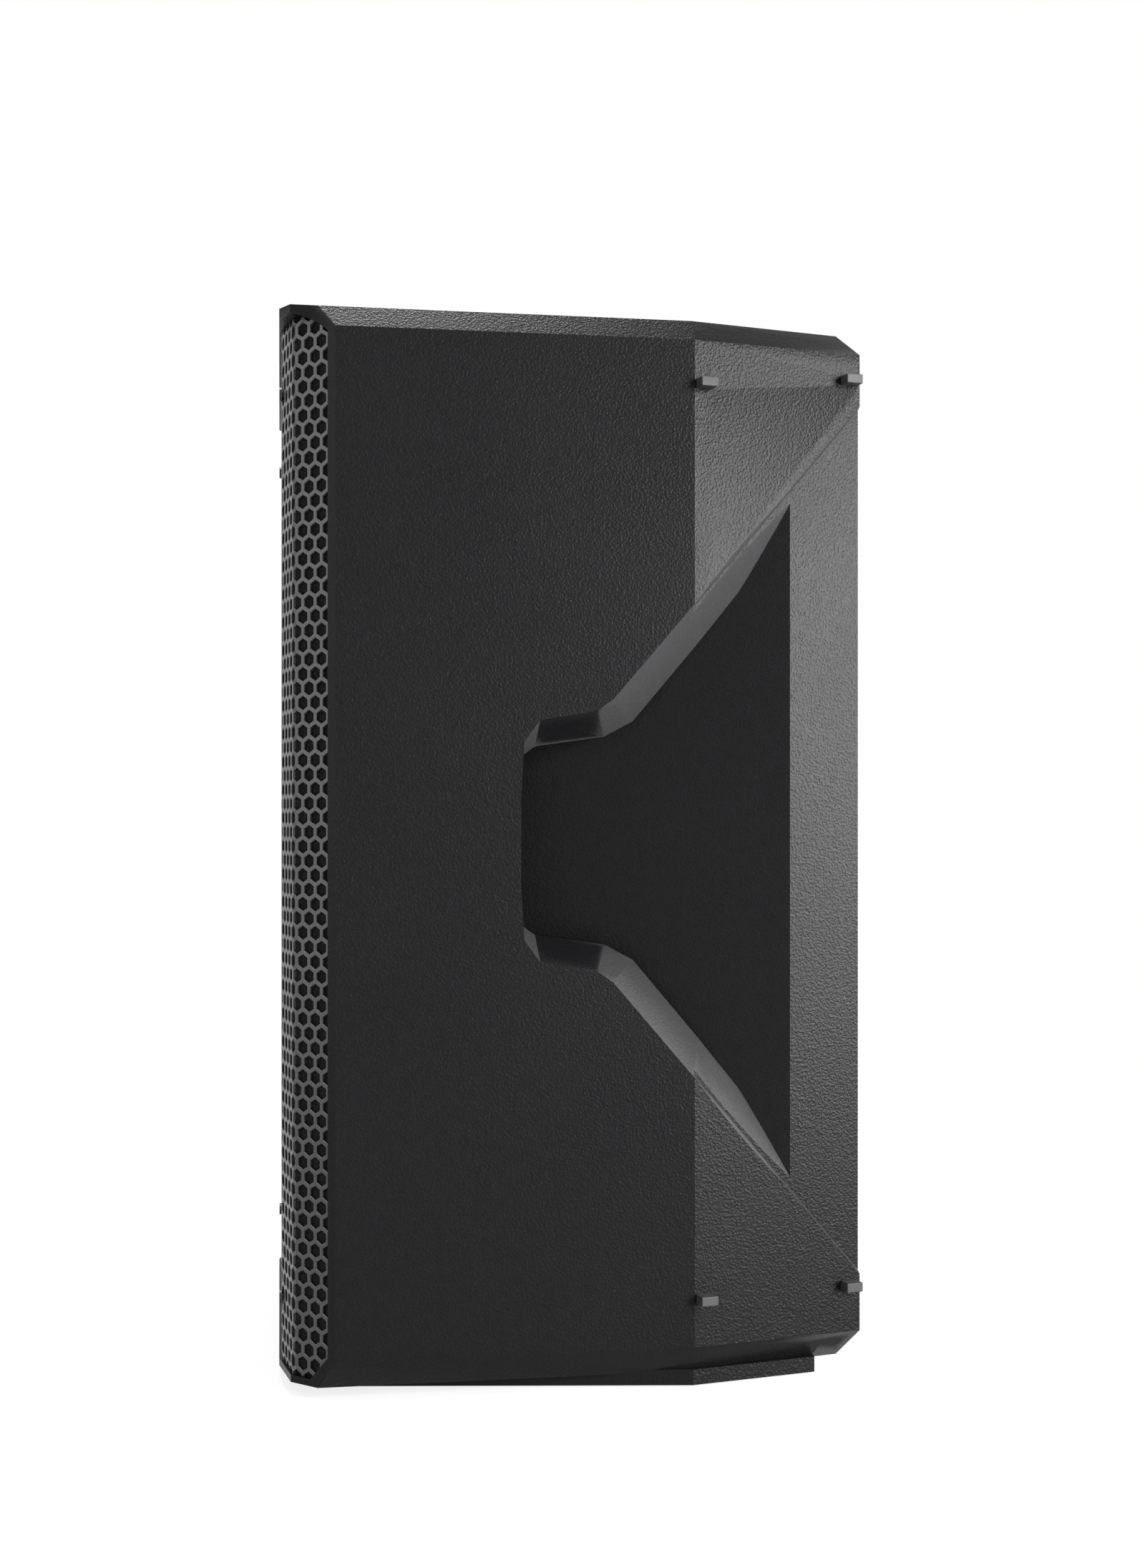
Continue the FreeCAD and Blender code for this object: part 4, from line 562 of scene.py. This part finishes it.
# %% Field of hexagons
def honeycomb():
    """A flat field of hexagonal faces that covers the sheet, standing in the XZ plane."""
    mesh = bmesh.new()
    bmesh.ops.create_circle(mesh, cap_ends=True, segments=6, radius=PITCH / math.sqrt(3))
    columns = math.ceil(2 * SHEET_HALF / PITCH) + 2
    rows = math.ceil((grille_high[2] - grille_low[2]) / (PITCH * math.sqrt(3) / 2)) + 2
    cell = mesh.faces[:]
    for column in range(1, columns):
        copy = bmesh.ops.duplicate(mesh, geom=cell)["geom"]
        points = [part for part in copy if isinstance(part, bmesh.types.BMVert)]
        bmesh.ops.translate(mesh, verts=points, vec=(PITCH * column, 0, 0))
    line = mesh.faces[:]
    for row in range(1, rows):
        copy = bmesh.ops.duplicate(mesh, geom=line)["geom"]
        points = [part for part in copy if isinstance(part, bmesh.types.BMVert)]
        sideways = PITCH / 2 if row % 2 else 0.0
        bmesh.ops.translate(mesh, verts=points, vec=(sideways, PITCH * row * math.sqrt(3) / 2, 0))
    bmesh.ops.remove_doubles(mesh, verts=mesh.verts[:], dist=SAME_POINT)
    bmesh.ops.translate(mesh, verts=mesh.verts[:], vec=(-PITCH * (columns - 0.5) / 2,
                                                        -PITCH * rows * math.sqrt(3) / 4, 0))
    bmesh.ops.rotate(mesh, verts=mesh.verts[:], matrix=Matrix.Rotation(math.radians(90), 3, "X"))
    bmesh.ops.translate(mesh, verts=mesh.verts[:], vec=(0, 0, (grille_low[2] + grille_high[2]) / 2))
    return mesh


def trim(mesh, point, outward):
    """Cuts away what lies beyond a plane."""
    whole = mesh.verts[:] + mesh.edges[:] + mesh.faces[:]
    bmesh.ops.bisect_plane(mesh, geom=whole, plane_co=point, plane_no=outward, clear_outer=True)


sheet = honeycomb()
holes = bmesh.ops.inset_individual(sheet, faces=sheet.faces[:], thickness=(PITCH - HOLE) / 2)
webs = set(holes["faces"])
bmesh.ops.delete(sheet, geom=[face for face in sheet.faces if face not in webs], context="FACES_ONLY")
for side in (-1, 1):
    trim(sheet, (side * SHEET_HALF, 0, 0), (side, 0, 0))
    for level, up in ((grille_low[2], -1), (grille_high[2], 1)):
        trim(sheet, (side * (SHEET_HALF - CORNER_CUT), 0, level), (side, 0, up * CORNER_RISE))
trim(sheet, (0, 0, grille_low[2]), (0, 0, -1))
trim(sheet, (0, 0, grille_high[2]), (0, 0, 1))
print("the flat sheet has", len(sheet.faces), "faces round its holes")

# %% Thickness, rounded hole edges and folds
bmesh.ops.solidify(sheet, geom=sheet.faces[:], thickness=SHEET)
front_level = min(point.co.y for point in sheet.verts)
rims = [edge for edge in sheet.edges
        if all(abs(point.co.y - front_level) < SAME_LEVEL for point in edge.verts)
        and len(edge.link_faces) == 2 and edge.calc_face_angle(0) > RIM_ANGLE]
bmesh.ops.bevel(sheet, geom=rims, offset=ROUNDING, segments=1, profile=0.5, affect="EDGES", material=-1)
for point in sheet.verts:
    place, inward = fold_path(point.co.x)
    point.co = Vector((place.x, place.y, point.co.z)) + inward * (point.co.y - front_level)
sheet_data = bpy.data.meshes.new("grille_honeycomb")
sheet.to_mesh(sheet_data)
sheet.free()
sheet_data.materials.append(coat)
honeycomb_piece = bpy.data.objects.new("grille_honeycomb", sheet_data)
bpy.context.scene.collection.objects.link(honeycomb_piece)
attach(honeycomb_piece, "cabinet")
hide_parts("grille")
print("the honeycomb has", len(sheet_data.polygons), "faces")

# %% [markdown]
# ## Print and small detail on the amplifier's panel
#
# On the real panel the scales are screen-printed: white ink a few hundredths of a millimetre thick.
# Thin slabs of ink do the same here. The knobs get ribs for the fingers and a white pointer, and
# both ride on the knob's own body, so that they turn with it. The screws get their cross recesses
# as thin dark crosses of painted shade, because their solids have plain heads.

# %% Slabs and how a piece joins the frame
def slab(mesh, middle, size, turn=0.0, about=(0, 0, 0)):
    """Adds a box, turned about Y round a given point, to a mesh that is being built."""
    made = bmesh.ops.create_cube(mesh, size=1.0)["verts"]
    bmesh.ops.scale(mesh, verts=made, vec=Vector(size) * MM)
    bmesh.ops.translate(mesh, verts=made, vec=Vector(middle) * MM)
    bmesh.ops.rotate(mesh, verts=made, cent=Vector(about) * MM, matrix=Matrix.Rotation(turn, 3, "Y"))


def join_frame(name, data, material, body):
    """Makes a piece from a mesh that is already in its place and lets it ride on a body."""
    data.materials.clear()
    data.materials.append(material)
    piece = bpy.data.objects.new(name, data)
    bpy.context.scene.collection.objects.link(piece)
    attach(piece, body)


def finished(name, mesh):
    """Turns a mesh that is being built into mesh data."""
    data = bpy.data.meshes.new(name)
    mesh.to_mesh(data)
    mesh.free()
    return data


def corners_mm(node):
    """The lowest and highest corners of a node, in millimetres."""
    return [Vector(corner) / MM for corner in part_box(node)]


PANEL_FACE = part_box("amp_panel")[1][1] / MM
print("the panel's face stands %.1f mm behind the middle" % PANEL_FACE)

# %% Knob ribs, pointers and dials
KNOBS = ("gain_knob_1", "gain_knob_2", "master_knob")
INK = 0.06
RIBS = 28
RIB_SIZE = (0.7, 8.4, 0.5)
RIB_BACK = 5.2
POINTER_WIDTH = 1.0
STRIPE_LENGTH, STRIPE_THICKNESS = 7.6, 0.12
STRIPE_BACK, STRIPE_LIFT = 4.6, 0.28
DIAL_SPAN = math.radians(300)
DIAL_STEPS = 10
DIAL_RADIUS = 10.2
TICK_WIDTH, TICK_SHORT, TICK_LONG = 0.4, 1.6, 2.6
ink = bmesh.new()
for knob in KNOBS:
    low, high = corners_mm(knob)
    middle = (low + high) / 2
    radius = (high.x - low.x) / 2
    ribs = bmesh.new()
    for i in range(RIBS):
        slab(ribs, (middle.x, high.y - RIB_BACK, middle.z + radius), RIB_SIZE, math.tau * i / RIBS, middle)
    join_frame(knob + "_ribs", finished(knob + "_ribs", ribs), smooth_plastic, knob)
    pointer = bmesh.new()
    slab(pointer, (middle.x, high.y + INK / 2, middle.z + radius * 0.55), (POINTER_WIDTH, INK, radius * 0.75))
    slab(pointer, (middle.x, high.y - STRIPE_BACK, middle.z + radius + STRIPE_LIFT),
         (POINTER_WIDTH, STRIPE_LENGTH, STRIPE_THICKNESS))
    join_frame(knob + "_pointer", finished(knob + "_pointer", pointer), white_ink, knob)
    for i in range(DIAL_STEPS + 1):
        tick = TICK_LONG if i in (0, DIAL_STEPS // 2, DIAL_STEPS) else TICK_SHORT
        slab(ink, (middle.x, PANEL_FACE + INK / 2, middle.z + DIAL_RADIUS + tick / 2),
             (TICK_WIDTH, INK, tick), DIAL_SPAN * (i / DIAL_STEPS - 0.5), middle)
print("ribs, pointers and", DIAL_STEPS + 1, "ticks on each dial")

# %% Rules between the sections of the panel
ACROSS_LEVELS, ACROSS_LENGTH, ACROSS_WIDTH = (296, 176), 168, 0.5
UPRIGHT_PLACES, UPRIGHT_MIDDLE, UPRIGHT_LENGTH, UPRIGHT_WIDTH = (-25, 25), 222, 78, 0.4
for level in ACROSS_LEVELS:
    slab(ink, (0, PANEL_FACE + INK / 2, level), (ACROSS_LENGTH, INK, ACROSS_WIDTH))
for across in UPRIGHT_PLACES:
    slab(ink, (across, PANEL_FACE + INK / 2, UPRIGHT_MIDDLE), (UPRIGHT_WIDTH, INK, UPRIGHT_LENGTH))
join_frame("panel_rules", finished("panel_rules", ink), white_ink, "cabinet")
print(len(ACROSS_LEVELS), "rules across and", len(UPRIGHT_PLACES), "upright")

# %% Numbers and switch words
DIAL_NUMBER_SIDE, DIAL_NUMBER_DROP, DIAL_NUMBER_SIZE = 8.6, 12.6, 4
SWITCH_WORD_GAP, SWITCH_WORD_SIZE = 4.5, 5
SOCKET_NUMBER_GAP, SOCKET_NUMBER_SIZE = 5, 6
LETTER_SMOOTHNESS = 3


def printed(name, words, across, level, size_mm):
    """A word in ink on the panel, read from behind the cabinet."""
    curve = bpy.data.curves.new(name, "FONT")
    curve.body = words
    curve.size = size_mm * MM
    curve.align_x = "CENTER"
    curve.align_y = "CENTER"
    curve.extrude = INK / 2 * MM
    curve.resolution_u = LETTER_SMOOTHNESS
    pattern = bpy.data.objects.new(name + "_pattern", curve)
    bpy.context.scene.collection.objects.link(pattern)
    depsgraph = bpy.context.evaluated_depsgraph_get()
    data = bpy.data.meshes.new_from_object(pattern.evaluated_get(depsgraph))
    bpy.data.objects.remove(pattern)
    facing_back = Matrix(((-1, 0, 0), (0, 0, 1), (0, 1, 0))).to_4x4()
    data.transform(Matrix.Translation(Vector((across, PANEL_FACE + INK / 2, level)) * MM) @ facing_back)
    join_frame(name, data, white_ink, "cabinet")


for knob in KNOBS:
    low, high = corners_mm(knob)
    middle = (low + high) / 2
    printed(knob + "_zero", "0", middle.x + DIAL_NUMBER_SIDE, middle.z - DIAL_NUMBER_DROP, DIAL_NUMBER_SIZE)
    printed(knob + "_ten", "10", middle.x - DIAL_NUMBER_SIDE, middle.z - DIAL_NUMBER_DROP, DIAL_NUMBER_SIZE)
low, high = corners_mm("switch_frame")
printed("switch_on", "ON", (low.x + high.x) / 2, high.z + SWITCH_WORD_GAP, SWITCH_WORD_SIZE)
printed("switch_off", "OFF", (low.x + high.x) / 2, low.z - SWITCH_WORD_GAP, SWITCH_WORD_SIZE)
for socket, number in (("combo_input_1", "1"), ("combo_input_2", "2")):
    low, high = corners_mm(socket)
    printed(socket + "_number", number, (low.x + high.x) / 2, high.z + SOCKET_NUMBER_GAP, SOCKET_NUMBER_SIZE)
print("the panel is printed")

# %% Cross recesses of the panel's screws
SCREW_REACH = 12
CROSS_LIFT = 0.02
CROSS_SIZE = (0.7, 0.08, 3.0)
CROSS_STEP, QUARTER = 17, 90


def screw_middles(node, reach_mm):
    """The middles of a node's separate screws, seen along Y and given in millimetres."""
    groups = []
    for vertex in nodes[node].data.vertices:
        place = nodes[node].matrix_world @ vertex.co / MM
        spot = Vector((place.x, place.z))
        near = [group for group in groups if (group[0] - spot).length < reach_mm]
        if near:
            near[0].append(spot)
        else:
            groups.append([spot])
    return [((min(spot.x for spot in group) + max(spot.x for spot in group)) / 2,
             (min(spot.y for spot in group) + max(spot.y for spot in group)) / 2) for group in groups]


# Painted shade: thin dark crosses stand for the shaded hollows of the screws' cross recesses.
shade_crosses = bmesh.new()
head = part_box("amp_panel_screws")[1][1] / MM
places = screw_middles("amp_panel_screws", SCREW_REACH)
for number, (across, level) in enumerate(places):
    for quarter in (0, 1):
        turn = math.radians(CROSS_STEP * number + QUARTER * quarter)
        slab(shade_crosses, (across, head + CROSS_LIFT, level), CROSS_SIZE, turn, (across, head, level))
join_frame("panel_screw_recess_shade", finished("panel_screw_recess_shade", shade_crosses), soft_rubber, "cabinet")
print(len(places), "screws have their recesses")
